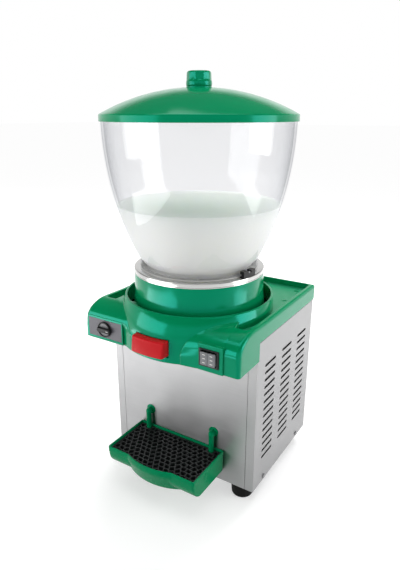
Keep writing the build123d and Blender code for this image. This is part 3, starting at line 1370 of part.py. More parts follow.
save("base_pan", base_pan())
save("feet", feet())
save("foot_screws", foot_screws())
save("front_panel", front_panel())
save("right_side_panel", side_panel())
save("left_side_panel", mirrored(side_panel()))
save("rear_panel", rear_panel())
save("panel_screws", panel_screws())
save("deck_plate", deck_plate())
save("top_cover", top_cover())
save("cover_posts", cover_posts())
save("cover_screws", cover_screws())
save("lobe_floor", lobe_floor())
save("collar_shell", collar_shell())
save("chill_well", chill_well())
save("clamp_ring", clamp_ring())
save("bowl_gasket", bowl_gasket())
save("lock_blocks", lock_blocks())
save("lock_screws", lock_screws())
save("bowl", bowl())
save("lid_shell", lid_shell())
save("lid_knob", lid_knob())
save("lid_screw", lid_screw())
save("drip_tray", drip_tray())
save("drip_grate", drip_grate())
save("tray_grommets", tray_grommets())
save("press_lever", press_lever())
save("lever_bracket", lever_bracket())
save("lever_pin", lever_pin())
save("lever_spring", lever_spring())
save("valve_body", valve_body())
save("valve_plunger", valve_plunger())
save("outlet_hose", outlet_hose())
save("thermostat_plate", thermostat_plate())
save("thermostat_body", thermostat_body())
save("thermostat_knob", thermostat_knob())
save("switch_body", switch_body())
save("left_rocker", rocker(-1))
save("right_rocker", rocker(1))
save("mixer_motor", mixer_motor())
save("mixer_bracket", mixer_bracket())
save("mixer_shaft", mixer_shaft())
save("shaft_seal", shaft_seal())
save("agitator", agitator())
save("evaporator_coil", evaporator_coil())
save("well_insulation", well_insulation())
save("filter_drier", filter_drier())
save("liquid_line", liquid_line())
save("discharge_line", discharge_line())
save("compressor", compressor())
save("compressor_mounts", compressor_mounts())
save("condenser", condenser())
save("fan_shroud", fan_shroud())
save("fan_bracket", fan_bracket())
save("fan_motor", fan_motor())
save("fan_blades", fan_blades())
save("mains_inlet", mains_inlet())
save("terminal_block", terminal_block())
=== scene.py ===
# %% [markdown]
# # A cold drink dispenser, dressed
# The engineering model gives every piece its place and its motion. This lesson dresses it: smooth
# moulded skins, a clear bowl, brushed steel and soft light. The first cell loads that model as a fixed
# frame.

# %% Load the frame
import math

import bmesh
import bpy
import numpy as np
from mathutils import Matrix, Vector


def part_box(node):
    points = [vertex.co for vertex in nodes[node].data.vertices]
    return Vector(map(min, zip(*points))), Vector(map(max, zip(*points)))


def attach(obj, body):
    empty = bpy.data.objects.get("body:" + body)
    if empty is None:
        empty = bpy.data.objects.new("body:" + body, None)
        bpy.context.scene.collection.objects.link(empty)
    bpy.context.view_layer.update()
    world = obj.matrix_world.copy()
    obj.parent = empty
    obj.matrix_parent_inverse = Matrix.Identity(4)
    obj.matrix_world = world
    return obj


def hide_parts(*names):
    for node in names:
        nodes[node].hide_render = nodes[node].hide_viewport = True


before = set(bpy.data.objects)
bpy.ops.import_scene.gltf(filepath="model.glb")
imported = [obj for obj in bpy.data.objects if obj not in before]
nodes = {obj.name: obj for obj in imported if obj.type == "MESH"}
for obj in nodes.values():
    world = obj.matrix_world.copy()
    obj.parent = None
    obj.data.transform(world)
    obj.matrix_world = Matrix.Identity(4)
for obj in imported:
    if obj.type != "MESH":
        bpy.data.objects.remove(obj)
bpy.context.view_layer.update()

# %% [markdown]
# Every later cell works in millimetres, because that is how the sizes of such a machine are written
# down. The cabinet's front face, the upright axis of the bowl and a few widths are read from the frame
# itself, so a surface made here always lands on the piece it stands for.

# %% Read the main places
MM = 0.001


def edge(node, side, axis):
    """Lowest (0) or highest (1) value of a piece along an axis, in millimetres."""
    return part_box(node)[side][axis] / MM


FRONT = edge("front_panel", 0, 1)
AXIS = (edge("bowl", 0, 1) + edge("bowl", 1, 1)) / 2
LID_R = edge("lid_shell", 1, 0)
SKIRT_HALF = edge("top_cover", 1, 0)
COVER_BACK = edge("top_cover", 1, 1)
LOBE_FRONT = edge("thermostat_plate", 0, 1)
PANEL_HALF = edge("right_side_panel", 1, 0)
print("front face", round(FRONT, 2), "bowl axis", round(AXIS, 2), "lid radius", round(LID_R, 2))

# %% [markdown]
# A moulded surface is easiest to think of as a sheet of grid points: two numbers choose a point, and a
# formula says where it lies. Blender's own modelling tools could do this by hand, but a grid worked out
# with numpy can be changed by one number. One helper turns any number of such grids into a mesh. It
# welds the seams, points all faces outwards and keeps a crisp line only where two faces meet sharply.

# %% Turn grids of points into a mesh
WELD = 2e-6  # metres: points closer than this become one


def surface(name, *sheets, crease=38.0):
    """One object from sheets of (grid in mm, join first and last row, join first and last column).
    Four neighbours make a quad, and a joined direction gets one more row of quads back to its start."""
    points, quads, start = [], [], 0
    for grid, join_rows, join_columns in sheets:
        rows, columns = grid.shape[:2]
        index = start + np.arange(rows * columns).reshape(rows, columns)
        if join_rows:
            index = np.vstack([index, index[:1]])
        if join_columns:
            index = np.hstack([index, index[:, :1]])
        quad = np.stack([index[:-1, :-1], index[:-1, 1:], index[1:, 1:], index[1:, :-1]], -1)
        quads.append(quad.reshape(-1, 4))
        points.append(grid.reshape(-1, 3) * MM)
        start += rows * columns
    mesh = bpy.data.meshes.new(name)
    mesh.from_pydata(np.concatenate(points).tolist(), [], np.concatenate(quads).tolist())
    work = bmesh.new()
    work.from_mesh(mesh)
    bmesh.ops.remove_doubles(work, verts=work.verts, dist=WELD)
    bmesh.ops.recalc_face_normals(work, faces=work.faces)
    work.to_mesh(mesh)
    work.free()
    mesh.shade_smooth()
    mesh.set_sharp_from_angle(angle=math.radians(crease))
    made = bpy.data.objects.new(name, mesh)
    bpy.context.scene.collection.objects.link(made)
    print(name, len(mesh.polygons), "faces")
    return made


def dress(made, look, slot, body, *stands_for):
    """Give a new piece its finish, let it ride on a body and stand for pieces of the frame."""
    made.data.materials.append(look)
    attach(made, body)
    if stands_for:
        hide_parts(*stands_for)


# %% [markdown]
# A few small helpers write such grids down. One stacks coordinates, so that a plain number can stand for a
# whole row. One closes the open ends of a tube. Moulded and pressed pieces have no knife edges, so another
# one rounds the corners of a path, and an S-curve blends one form into the next.

# %% Grids, ends and rounded paths


def grid_of(*coordinates):
    """Stack coordinates into points. Each is a number, a row, a column or a whole array."""
    return np.stack(np.broadcast_arrays(*coordinates), -1)


def closed_ends(rows):
    """Put the middle of the first and of the last row before and after a tube's rows."""
    first, last = [np.broadcast_to(row.mean(0), rows[:1].shape) for row in (rows[0], rows[-1])]
    return np.concatenate([first, rows, last])


def rounded(corners, radius, closed=True, steps=6):
    """Path through corners. Each corner becomes a quadratic curve from one radius before it to one after
    it, or from just under half of a side where the side is short."""
    corner = np.asarray(corners, float)
    before = np.roll(corner, 1, 0) - corner
    after = np.roll(corner, -1, 0) - corner
    room_before = np.linalg.norm(before, axis=1, keepdims=True)
    room_after = np.linalg.norm(after, axis=1, keepdims=True)
    reach = np.broadcast_to(np.asarray(radius, float), len(corner))[:, None].copy()
    if not closed:
        reach[[0, -1]] = 0.0
    reach = np.minimum(reach, 0.49 * np.minimum(room_before, room_after))
    first = (corner + before / room_before * reach)[:, None]
    last = (corner + after / room_after * reach)[:, None]
    s = np.linspace(0, 1, steps)[None, :, None]
    path = (1 - s) ** 2 * first + 2 * s * (1 - s) * corner[:, None] + s**2 * last
    return path.reshape(-1, corner.shape[1])


def smooth(low, high, value):
    """S-curve: 0 up to low and 1 from high on. With low above high it falls instead."""
    t = np.clip((value - low) / (high - low), 0, 1)
    return t * t * (3 - 2 * t)


print("grid helpers ready")

# %% [markdown]
# Most pieces of this machine are round. A lathe makes them: a profile of radius and height is carried
# round an upright axis. Blender has a Screw modifier for this. A formula is used here, because it also
# serves the pieces that are only nearly round, such as the lid's knob.

# %% Turning


def once_round(steps):
    """Angles once round a circle, as a column."""
    return np.linspace(0, 2 * np.pi, steps, endpoint=False)[:, None]


def swing(angle, r, z, x=0.0, y=AXIS):
    """Points round an upright axis: x + r sin a, y - r cos a, z."""
    return grid_of(x + r * np.sin(angle), y - r * np.cos(angle), z)


def turn(profile, segments, centre=(0.0, AXIS), closed=False):
    """Sheet of a profile of (radius, height) carried once round. A closed profile ends where it starts."""
    r, z = np.asarray(profile, float).T[:, None]
    return swing(once_round(segments), r, z, *centre), True, closed


print("lathe ready")

# %% [markdown]
# Real finishes are never one flat colour. What several finishes share goes into shader node groups, built
# once and placed in each material with its own values. A group could hold a whole shader, but an exported
# model reads the shader in the material itself, so these groups put out colours and numbers alone. First
# come helpers that add a node, join sockets and start a group.

# %% Shader node helpers
COLOUR, NUMBER, VECTOR = "NodeSocketColor", "NodeSocketFloat", "NodeSocketVector"


def put(tree, kind, values=None, **settings):
    """Add a shader node, set its properties and then its plain input values."""
    node = tree.nodes.new("ShaderNode" + kind)
    for key, value in settings.items():
        setattr(node, key, value)
    for key, value in (values or {}).items():
        node.inputs[key].default_value = value
    return node


def wire(tree, *links):
    """Join sockets. A link is a node, its output, the node that it feeds and that node's input."""
    for giver, output, taker, entry in links:
        tree.links.new(giver.outputs[output], taker.inputs[entry])


def new_group(name, *extra):
    """Group that takes colour, roughness and extra inputs, and puts out colour, roughness and height."""
    tree = bpy.data.node_groups.new(name, "ShaderNodeTree")
    shared = (("Colour", COLOUR), ("Roughness", NUMBER))
    for way, sockets in (("INPUT", shared + extra), ("OUTPUT", (*shared, ("Height", NUMBER)))):
        for label, kind in sockets:
            tree.interface.new_socket(label, in_out=way, socket_type=kind)
    return tree, tree.nodes.new("NodeGroupInput"), tree.nodes.new("NodeGroupOutput")


def vary_colour(tree, group_in, group_out, pattern, middle, amount):
    """Colour times 1 + amount x (pattern - middle)."""
    lift = put(tree, "Math", {1: middle}, operation="SUBTRACT")
    tint = put(tree, "Math", {2: 1.0}, operation="MULTIPLY_ADD")
    tone = put(tree, "VectorMath", operation="SCALE")
    wire(tree, (pattern, 0, lift, 0), (lift, 0, tint, 0), (group_in, amount, tint, 1),
         (group_in, "Colour", tone, 0), (tint, 0, tone, "Scale"), (tone, 0, group_out, "Colour"))


def vary_roughness(tree, group_in, group_out, pattern, span, change):
    """Roughness plus a change that runs from one number to another over a span of the pattern."""
    worn = put(tree, "MapRange", {"From Min": span[0], "From Max": span[1], "To Min": change[0],
                                  "To Max": change[1]})
    rough = put(tree, "Math", operation="ADD")
    wire(tree, (pattern, 0, worn, "Value"), (worn, 0, rough, 0), (group_in, "Roughness", rough, 1),
         (rough, 0, group_out, "Roughness"))


print("shader helpers ready")

# %% [markdown]
# Moulded plastic has three faint irregularities: its colour is a little cloudy, its skin has the fine
# relief called orange peel, and handling leaves a haze that dulls the gloss here and there. Painted image
# maps could show them. Three noises on Object coordinates need no unwrapping and have no seams.

# %% Moulded skin group
moulded, skin_in, skin_out = new_group("moulded skin", ("Cloud", NUMBER), ("Peel size", NUMBER))
place = put(moulded, "TexCoord")
cloud = put(moulded, "TexNoise", {"Scale": 9.0, "Detail": 3.0})
peel = put(moulded, "TexNoise", {"Detail": 2.0})
haze = put(moulded, "TexNoise", {"Scale": 60.0, "Detail": 6.0, "Roughness": 0.65})
wire(moulded, *[(place, "Object", noise, "Vector") for noise in (cloud, peel, haze)],
     (skin_in, "Peel size", peel, "Scale"), (peel, 0, skin_out, "Height"))
vary_colour(moulded, skin_in, skin_out, cloud, 0.5, "Cloud")
vary_roughness(moulded, skin_in, skin_out, haze, (0.35, 0.75), (-0.03, 0.07))
print("moulded skin:", len(moulded.nodes), "nodes")

# %% [markdown]
# Brushed steel shows long fine scratches along the rolling direction and broad patches where hands and
# cloths have been. A noise becomes a scratch when its coordinates are stretched: large numbers across the
# scratch, small ones along it. A second noise adds the patches, and both drive colour and roughness.

# %% Brushed grain group
brushed, grain_in, grain_out = new_group("brushed grain", ("Grain", VECTOR), ("Contrast", NUMBER))
place = put(brushed, "TexCoord")
stretch = put(brushed, "VectorMath", operation="MULTIPLY")
grain = put(brushed, "TexNoise", {"Scale": 1.0, "Detail": 5.0, "Roughness": 0.7})
patch = put(brushed, "TexNoise", {"Scale": 14.0, "Detail": 4.0, "Roughness": 0.6})
both = put(brushed, "Math", operation="ADD")
wire(brushed, (place, "Object", stretch, 0), (grain_in, "Grain", stretch, 1),
     (stretch, 0, grain, "Vector"), (place, "Object", patch, "Vector"), (grain, 0, both, 0),
     (patch, 0, both, 1), (grain, 0, grain_out, "Height"))
vary_colour(brushed, grain_in, grain_out, both, 1.0, "Contrast")
vary_roughness(brushed, grain_in, grain_out, both, (0.7, 1.3), (-0.06, 0.08))
print("brushed grain:", len(brushed.nodes), "nodes")

# %% [markdown]
# With the groups made, a finish is a few numbers: a colour, how rough it is, and how strong its relief
# is. Numbers that are the same all over a surface, such as the strength of its gloss, are set on the
# shader itself, because an exported model reads them there.

# %% Finish helpers


def finish(name, group, values, shader, relief):
    """Material whose colour, roughness and relief come from a group. Relief is (strength, depth in m)."""
    material = bpy.data.materials.new(name)
    material.use_nodes = True
    tree = material.node_tree
    skin = tree.nodes["Principled BSDF"]
    for key, value in shader.items():
        skin.inputs[key].default_value = value
    look = put(tree, "Group", values, node_tree=group)
    bump = put(tree, "Bump", {"Strength": relief[0], "Distance": relief[1]})
    wire(tree, (look, "Colour", skin, "Base Color"), (look, "Roughness", skin, "Roughness"),
         (look, "Height", bump, "Height"), (bump, "Normal", skin, "Normal"))
    return material


def plastic(name, colour, roughness, cloud=0.08, peel=(0.06, 0.0003), peel_size=420.0, **shader):
    """Moulded plastic: a dielectric with orange peel. Further shader inputs go straight to its sockets."""
    values = {"Colour": (*colour, 1), "Roughness": roughness, "Cloud": cloud, "Peel size": peel_size}
    return finish(name, moulded, values, {"IOR": 1.5, **shader}, peel)


def metal(name, colour, roughness, grain, contrast, relief=(0.05, 0.0002), **shader):
    """Bare metal with a grain: the three numbers stretch the noise along X, Y and Z."""
    values = {"Colour": (*colour, 1), "Roughness": roughness, "Grain": grain, "Contrast": contrast}
    return finish(name, brushed, values, {"Metallic": 1.0, **shader}, relief)


print("finish helpers ready")

# %% [markdown]
# Four greens belong to one colour of plastic: polished on the cover and the collar, a little softer on the
# lid, satin on the tray and textured on the sunk floor. Their gloss has a green tint where it is seen
# straight on, as coloured plastic lit by a large window shows it. The other plastics are plain.

# %% Plastics and rubber
GREEN_GLOSS = {"Specular Tint": (0.05, 1, 0.92, 1)}
FINE_PEEL = (0.03, 0.0002)
green = plastic("green moulded plastic", (0.0004, 0.225, 0.083), 0.13, 0.10, FINE_PEEL, IOR=1.6,
                **GREEN_GLOSS)
lid_green = plastic("green lid plastic", (0.0004, 0.232, 0.088), 0.15, 0.10, FINE_PEEL,
                    **{"Specular IOR Level": 0.42}, **GREEN_GLOSS)
tray_green = plastic("green satin plastic", (0.0004, 0.225, 0.083), 0.24, 0.10, FINE_PEEL,
                     **{"Specular IOR Level": 0.12}, **GREEN_GLOSS)
matt_green = plastic("green textured plastic", (0.012, 0.262, 0.122), 0.36, 0.12, (0.2, 0.0004), 900.0)
deep_green = plastic("deep green moulded plastic", (0.0004, 0.16, 0.058), 0.3, 0.10)
red = plastic("red moulded plastic", (0.52, 0.010, 0.015), 0.24, 0.08, (0.04, 0.0002),
              **{"Specular IOR Level": 0.3, "Specular Tint": (1, 0.25, 0.25, 1)})
black = plastic("black satin plastic", (0.009, 0.009, 0.010), 0.36, 0.2, (0.15, 0.0003), 900.0,
                **{"Specular IOR Level": 0.3})
web_black = plastic("dark grey grate plastic", (0.020, 0.022, 0.023), 0.45, 0.2, (0.15, 0.0003), 900.0)
charcoal = plastic("charcoal satin plastic", (0.105, 0.102, 0.118), 0.42, 0.25, (0.12, 0.0003), 900.0)
grey = plastic("grey rocker plastic", (0.17, 0.175, 0.185), 0.38, 0.08, (0.1, 0.0002), 900.0)
white = plastic("white plastic", (0.78, 0.78, 0.75), 0.35, 0.05)
rubber = plastic("black rubber", (0.007, 0.007, 0.007), 0.62, 0.25, (0.3, 0.0004), 1300.0,
                 **{"Specular IOR Level": 0.12})
soft_clear = plastic("milky rubber", (0.62, 0.62, 0.60), 0.4, 0.06)
foam = plastic("insulating foam", (0.70, 0.60, 0.36), 0.8, 0.2, (0.5, 0.001), 260.0)
# black enamel for motors, compressor and shroud; on the deck plate and the condenser it is painted shade
enamel_and_shade_black = plastic("black enamel", (0.012, 0.012, 0.013), 0.28, 0.15, (0.08, 0.0003))
print("finishes:", len(bpy.data.materials))

# %% [markdown]
# The cabinet's panels are brushed across, so their scratches are fine in Z and long in X and Y. Scratches
# also smear a reflection at right angles to themselves. That is what the shader's anisotropy does, so the
# panels show soft upright bands of light. The other metals have no direction.

# %% Metals
panel_steel = metal("brushed panel steel", (0.40, 0.40, 0.405), 0.37, (14.0, 14.0, 900.0), 0.22,
                    (0.012, 0.0002), **{"Anisotropic": 0.7, "Anisotropic Rotation": 0.25})
zinc_steel = metal("zinc plated steel", (0.46, 0.47, 0.49), 0.42, (60.0, 60.0, 60.0), 0.20)
bright_steel = metal("polished steel", (0.56, 0.56, 0.55), 0.12, (10.0, 10.0, 700.0), 0.10, (0.02, 0.0001))
screw_steel = metal("screw steel", (0.34, 0.34, 0.35), 0.30, (300.0, 300.0, 300.0), 0.12)
copper = metal("copper tube", (0.72, 0.36, 0.20), 0.25, (120.0, 120.0, 120.0), 0.2)
print("finishes:", len(bpy.data.materials))

# %% [markdown]
# The bowl is clear polycarbonate. Glass shaders bend light at every surface, which is right for a thick
# lens. A wall of four millimetres hardly shifts what is behind it, so a see-through shader with a gloss
# renders cleaner. Seen at a slant, light has a longer way through the wall, so both the grey of the wall
# and its gloss grow towards the edges.

# %% Clear bowl plastic
clear = bpy.data.materials.new("clear bowl plastic")
clear.use_nodes = True
tree = clear.node_tree
tree.nodes.remove(tree.nodes["Principled BSDF"])
slant = put(tree, "LayerWeight", {"Blend": 0.5})
steep = put(tree, "Math", {1: 3.0}, operation="POWER")
wall_tone = put(tree, "Mix", {"A": (0.967, 0.968, 0.972, 1), "B": (0.76, 0.765, 0.78, 1)}, data_type="RGBA")
see_through = put(tree, "BsdfTransparent")
gloss = put(tree, "BsdfGlossy", {"Color": (0.95, 0.96, 0.97, 1), "Roughness": 0.04})
shine = put(tree, "MapRange", {"To Min": 0.025, "To Max": 0.30})
mix = put(tree, "MixShader")
wire(tree, (slant, "Facing", steep, 0), (steep, 0, wall_tone, "Factor"), (steep, 0, shine, "Value"),
     (wall_tone, "Result", see_through, "Color"), (shine, 0, mix, "Fac"), (see_through, 0, mix, 1),
     (gloss, 0, mix, 2), (mix, 0, tree.nodes["Material Output"], "Surface"))
print("clear plastic:", len(tree.nodes), "nodes")

# %% [markdown]
# Many pieces of the frame already have the right shape: flat panels, screws, brackets and everything
# inside the cabinet. New surfaces for them would add nothing, so they only get a finish, each the one that
# suits the real piece. The deck plate and the condenser are black as painted shade, in the moat round the
# collar and behind the slots.

# %% Finish the pieces kept from the frame
KEPT = (
    (panel_steel, "front_panel left_side_panel right_side_panel rear_panel"),
    (zinc_steel, "base_pan cover_posts lever_bracket mixer_bracket fan_bracket"),
    (bright_steel, "chill_well mixer_shaft"),
    (screw_steel, "foot_screws panel_screws lock_screws lid_screw lever_pin lever_spring"),
    (copper, "evaporator_coil filter_drier liquid_line discharge_line"),
    # deck plate and condenser black: painted shade in the moat and behind the slots
    (enamel_and_shade_black, "deck_plate fan_shroud compressor fan_motor mixer_motor condenser"),
    (black, "thermostat_body lock_blocks mains_inlet terminal_block fan_blades"),
    (white, "valve_body valve_plunger agitator"),
    (rubber, "compressor_mounts shaft_seal"),
    (soft_clear, "bowl_gasket outlet_hose"),
    (web_black, "drip_grate"),
    (charcoal, "thermostat_plate"),
    (green, "tray_grommets"),
    (deep_green, "lobe_floor"),
    (foam, "well_insulation"),
)
kept = [(look, name) for look, names in KEPT for name in names.split()]
for look, name in kept:
    nodes[name].data.materials.clear()
    nodes[name].data.materials.append(look)
print(len(kept), "pieces finished as they are")

# %% [markdown]
# The lid is a thin green dome with an upright rim that slips over the bowl. A scaled half ball would be
# too round at its edge. A profile is turned instead: it runs from the crown outwards along a shallow ball
# cap, round the rim's soft corner, under the edge and back along the inside. A small boss carries the knob.

# %% Lid
CROWN, SHOULDER, LID_LOW, BOWL_TOP = 673.6, 634.0, 624.0, 628.0
LID_WALL, BOSS_R, BOSS_TOP = 2.3, 19.5, 675.0


def dome(r, crown, edge_r, edge_z):
    """Height of a ball cap: crown - ball + sqrt(ball^2 - r^2), the ball passing through the edge."""
    rise = crown - edge_z
    ball = (edge_r**2 + rise**2) / (2 * rise)
    return crown - ball + np.sqrt(ball**2 - r**2)


over = np.linspace(0, LID_R - 3.5, 70)
under = np.linspace(LID_R - 7.5, 0, 50)
over_z = dome(over, CROWN, LID_R, SHOULDER)
under_z = dome(under, CROWN - 2.5, under[0], BOWL_TOP)
lid_rim = rounded([(over[-1], over_z[-1]), (LID_R - 0.1, SHOULDER + 0.2), (LID_R, LID_LOW),
                   (LID_R - LID_WALL, LID_LOW), (LID_R - LID_WALL, BOWL_TOP), (under[0], BOWL_TOP)],
                  [0, 4.0, 0.9, 0.6, 0.5, 0], closed=False)
lid_profile = np.vstack([grid_of(over, over_z), lid_rim, grid_of(under, under_z)])
boss = rounded([(0, BOSS_TOP), (BOSS_R, BOSS_TOP), (BOSS_R, 671.0), (8.0, 671.0), (8.0, 669.5), (0, 669.5)],
               [0, 0.8, 0.3, 0.3, 0.3, 0], closed=False)
lid = surface("lid", turn(lid_profile, 220), turn(boss, 64))
dress(lid, lid_green, "green_plastic", "lid", "lid_shell")

# %% [markdown]
# The knob is a ten-sided cap with softened facets on a round foot, a little narrower at the top and rounded
# over there. A bevelled prism would have hard facets all the way. Here the radius is a blend between a
# regular polygon and a circle, so the facets fade out at the foot and towards the top.

# %% Lid knob
SIDES, FOOT_END, KNOB_TOP = 10, 683.6, 696.4
angle = once_round(240)
facet = (angle + np.pi / SIDES) % (2 * np.pi / SIDES) - np.pi / SIDES
polygon = np.cos(np.pi / SIDES) / np.cos(facet)
knob_path = rounded([(0.0, BOSS_TOP + 0.05), (BOSS_R, BOSS_TOP + 0.05), (20.0, 678.0), (19.6, 682.0),
                     (18.9, FOOT_END), (18.2, KNOB_TOP), (11.0, KNOB_TOP)],
                    [0, 0.8, 1.5, 1.0, 1.0, 3.4, 0], closed=False, steps=10)
knob_path = np.vstack([knob_path, grid_of(np.linspace(10, 0, 8), KNOB_TOP)])
r, z = knob_path.T[:, None]
faceted = smooth(FOOT_END - 1, FOOT_END + 1, z) * (1 - smooth(KNOB_TOP - 4, KNOB_TOP - 0.2, z))
knob_r = r * (1 + faceted * (0.75 * (polygon - 1) + 0.012))
lid_knob = surface("lid_knob_cap", (swing(angle, knob_r, z), True, False), crease=50)
dress(lid_knob, green, "green_plastic", "lid", "lid_knob")

# %% [markdown]
# The bowl swells quickly above its neck and stands upright at the rim. One sheet with a Solidify modifier
# would give it a wall, but not its rounded rim and its foot. So outer and inner wall follow one formula,
# four millimetres apart, and the rim and a foot flange, which the two locks hold, join them.

# %% Bowl
FOOT_LOW, FOOT_TOP, FOOT_R = 394.7, 398.7, 99.0
NECK_R, MOUTH_R, WALL = 94.1, 151.5, 4.0


def bowl_radius(z, inset=0.0):
    """Neck radius plus the swell: (1 - (1 - t)^2)^0.93 of the way to the mouth, t the share of height."""
    t = np.clip((z - FOOT_TOP) / (BOWL_TOP - FOOT_TOP), 0, 1)
    return NECK_R + (MOUTH_R - NECK_R) * (1 - (1 - t) ** 2) ** 0.93 - inset


rise = FOOT_TOP + (BOWL_TOP - 1.5 - FOOT_TOP) * np.linspace(0, 1, 90) ** 1.3
outside = grid_of(bowl_radius(rise), rise)[1:]
inside = grid_of(bowl_radius(rise, WALL), rise)[::-1]
mouth = rounded([outside[-1], (MOUTH_R, BOWL_TOP), (MOUTH_R - WALL, BOWL_TOP), inside[0]],
                [0, 1.2, 1.2, 0], closed=False)
foot = rounded([inside[-1], (NECK_R - WALL, FOOT_LOW), (FOOT_R, FOOT_LOW), (FOOT_R, FOOT_TOP), outside[0]],
               [0, 0.3, 0.8, 1.0, 0], closed=False)
bowl = surface("bowl_shell", turn(np.vstack([outside, mouth, inside[1:], foot]), 240, closed=True))
dress(bowl, clear, "clear_plastic", "bowl", "bowl")

# %% [markdown]
# The bowl is about half full of a white drink. Light enters it and comes out again nearby, which is what
# subsurface scattering is for. Its side is turned and reaches a little into the wall, so that no gap shows
# between them. The top is a set of rings whose height carries gentle swirls and a crust of froth at the
# wall. A fluid simulation could give that, but a still surface doesn't need one.

# %% Drink
FILL, DRINK_LOW, DRINK_FOOT_R = 496.5, 374.0, 89.5
BOTTOM_RINGS, TOP_RINGS = 12, 70
drink_skin = plastic("white drink", (0.88, 0.88, 0.855), 0.45, 0.06, (0.25, 0.0012), 170.0, **{
    "Subsurface Weight": 0.9, "Subsurface Radius": (1.0, 1.0, 0.9), "Subsurface Scale": 0.08})
side_z = np.concatenate([[DRINK_LOW, 384.0], np.linspace(FOOT_LOW, FILL + 1.2, 58)])
side_r = np.where(side_z < FOOT_TOP, DRINK_FOOT_R,
                  bowl_radius(side_z, 1.2 + 3.2 * smooth(412.0, FOOT_TOP, side_z)))
r = np.concatenate([np.linspace(0, side_r[0], BOTTOM_RINGS), side_r,
                    side_r[-1] * np.linspace(0.995, 0, TOP_RINGS)])[None]
z = np.concatenate([np.full(BOTTOM_RINGS, DRINK_LOW), side_z, np.full(TOP_RINGS, FILL)])[None]
on_top = np.arange(r.size) >= r.size - TOP_RINGS
out = r / side_r[-1]
angle = once_round(240)
crust = 1.2 * smooth(0.93, 1.0, out)
swirl = 0.35 * np.sin(3 * angle + r / 9.0) + 0.25 * np.sin(7 * angle - r / 6.0)
froth = 0.3 * np.sin(41 * angle) * np.sin(r * 0.9) * smooth(0.6, 1.0, out)
z = z + on_top * (crust + (swirl + froth) * np.clip(r / 30.0, 0, 1) * smooth(1.0, 0.97, out))
drink = surface("drink", (swing(angle, r, z), True, False), crease=60)
dress(drink, drink_skin, "white_plastic", "bowl")

# %% [markdown]
# Below the bowl sits a polished steel ring on a green collar. The collar stands in a round moat of the
# cover and widens a little where it meets the deck. Both could be bevelled cylinders. Turned profiles keep
# each edge's own radius, and the flare is one S-curve.

# %% Collar and ring
COLLAR_R, FLARE_R, COLLAR_IN, COLLAR_LOW, COLLAR_TOP = 110.0, 112.2, 107.5, 304.6, 384.8
flare_z = np.linspace(352.0, 334.0, 16)
flare = grid_of(FLARE_R - (FLARE_R - COLLAR_R) * smooth(334.0, 352.0, flare_z), flare_z)
collar_edges = rounded([(FLARE_R, 330.0), (FLARE_R, COLLAR_LOW), (COLLAR_IN, COLLAR_LOW),
                        (COLLAR_IN, COLLAR_TOP), (COLLAR_R, COLLAR_TOP), (COLLAR_R, 366.0)],
                       [0, 0.5, 0.2, 0.5, 0.8, 0], closed=False)
collar = surface("collar", turn(np.vstack([flare, collar_edges]), 220, closed=True))
dress(collar, green, "green_plastic", "cabinet", "collar_shell")
ring_profile = rounded([(91.0, 386.0), (COLLAR_R, 386.0), (COLLAR_R, 393.2), (91.0, 393.2)],
                       [0.4, 0.8, 1.8, 0.5])
ring = surface("clamp_ring_bright", turn(ring_profile, 260, closed=True))
dress(ring, bright_steel, "polished_steel", "cabinet", "clamp_ring")

# %% [markdown]
# The cover is the hardest shape. Two main forms run into each other: a frame of rim and lobes with a
# rounded brow, and a round bell that leans out of it and rings the collar. Where they meet, the mould has
# a crisp valley, so each form is its own closed sheet and they simply pass into each other. The frame could
# be modelled by hand under a subdivision surface. A distance formula is used, positive outside and negative
# inside, because every edge then keeps its own radius and every size stays one number.

# %% Cover formulas
RIM_TOP, SUNK, RING_TOP, OPENING_R = 332.0, 322.0, 345.5, 123.4
SKIRT_LOW, LOBE_LOW, LOBE_TOP, HIDDEN_LOW, FLOOR_LOW = 304.5, 273.0, 333.0, 318.6, 318.8
BROW_BACK, BROW_LOW = LOBE_FRONT + 44.0, 303.0


def meet(a, b, r):
    """Rounded intersection of two distances: the larger one, with their common edge rounded by r."""
    edge_way = np.hypot(np.maximum(a + r, 0), np.maximum(b + r, 0)) - r
    return np.where((a > -r) & (b > -r), edge_way, np.maximum(a, b))


def sweep(x, z):
    """How far a lobe's face comes forward beside the bell. On the right it leans out evenly and ends in an
    edge rounded by 3 mm. On the left it falls back beside the plate's pad. Nearer the middle both fall
    back out of sight, which leaves the lever its room."""
    reach = np.abs(x)
    past = reach - 48.5 - 0.0148 * np.maximum(z - 286.0, 0) ** 1.97
    end = 3 - np.sqrt(9 - np.clip(2.5 - past, 0, 2.9) ** 2) + np.clip(-0.8 - 2 * past, 0, 5)
    lean = np.interp(reach, [40, 79, 100], [6.9, 1.3, 0])
    right = lean * (1 - smooth(286.0, 322.0, z)) - 1.3 * smooth(119.0, 121.4, reach)
    left = np.interp(reach, [34, 41, 44, 48, 67, 69, 71], [-6, 6.5, 6.5, 5.2, -3.4, -3.4, 0])
    left = left * (1 - smooth(300.0, 316.0, z))
    return np.where(x < 0, left, right - end)


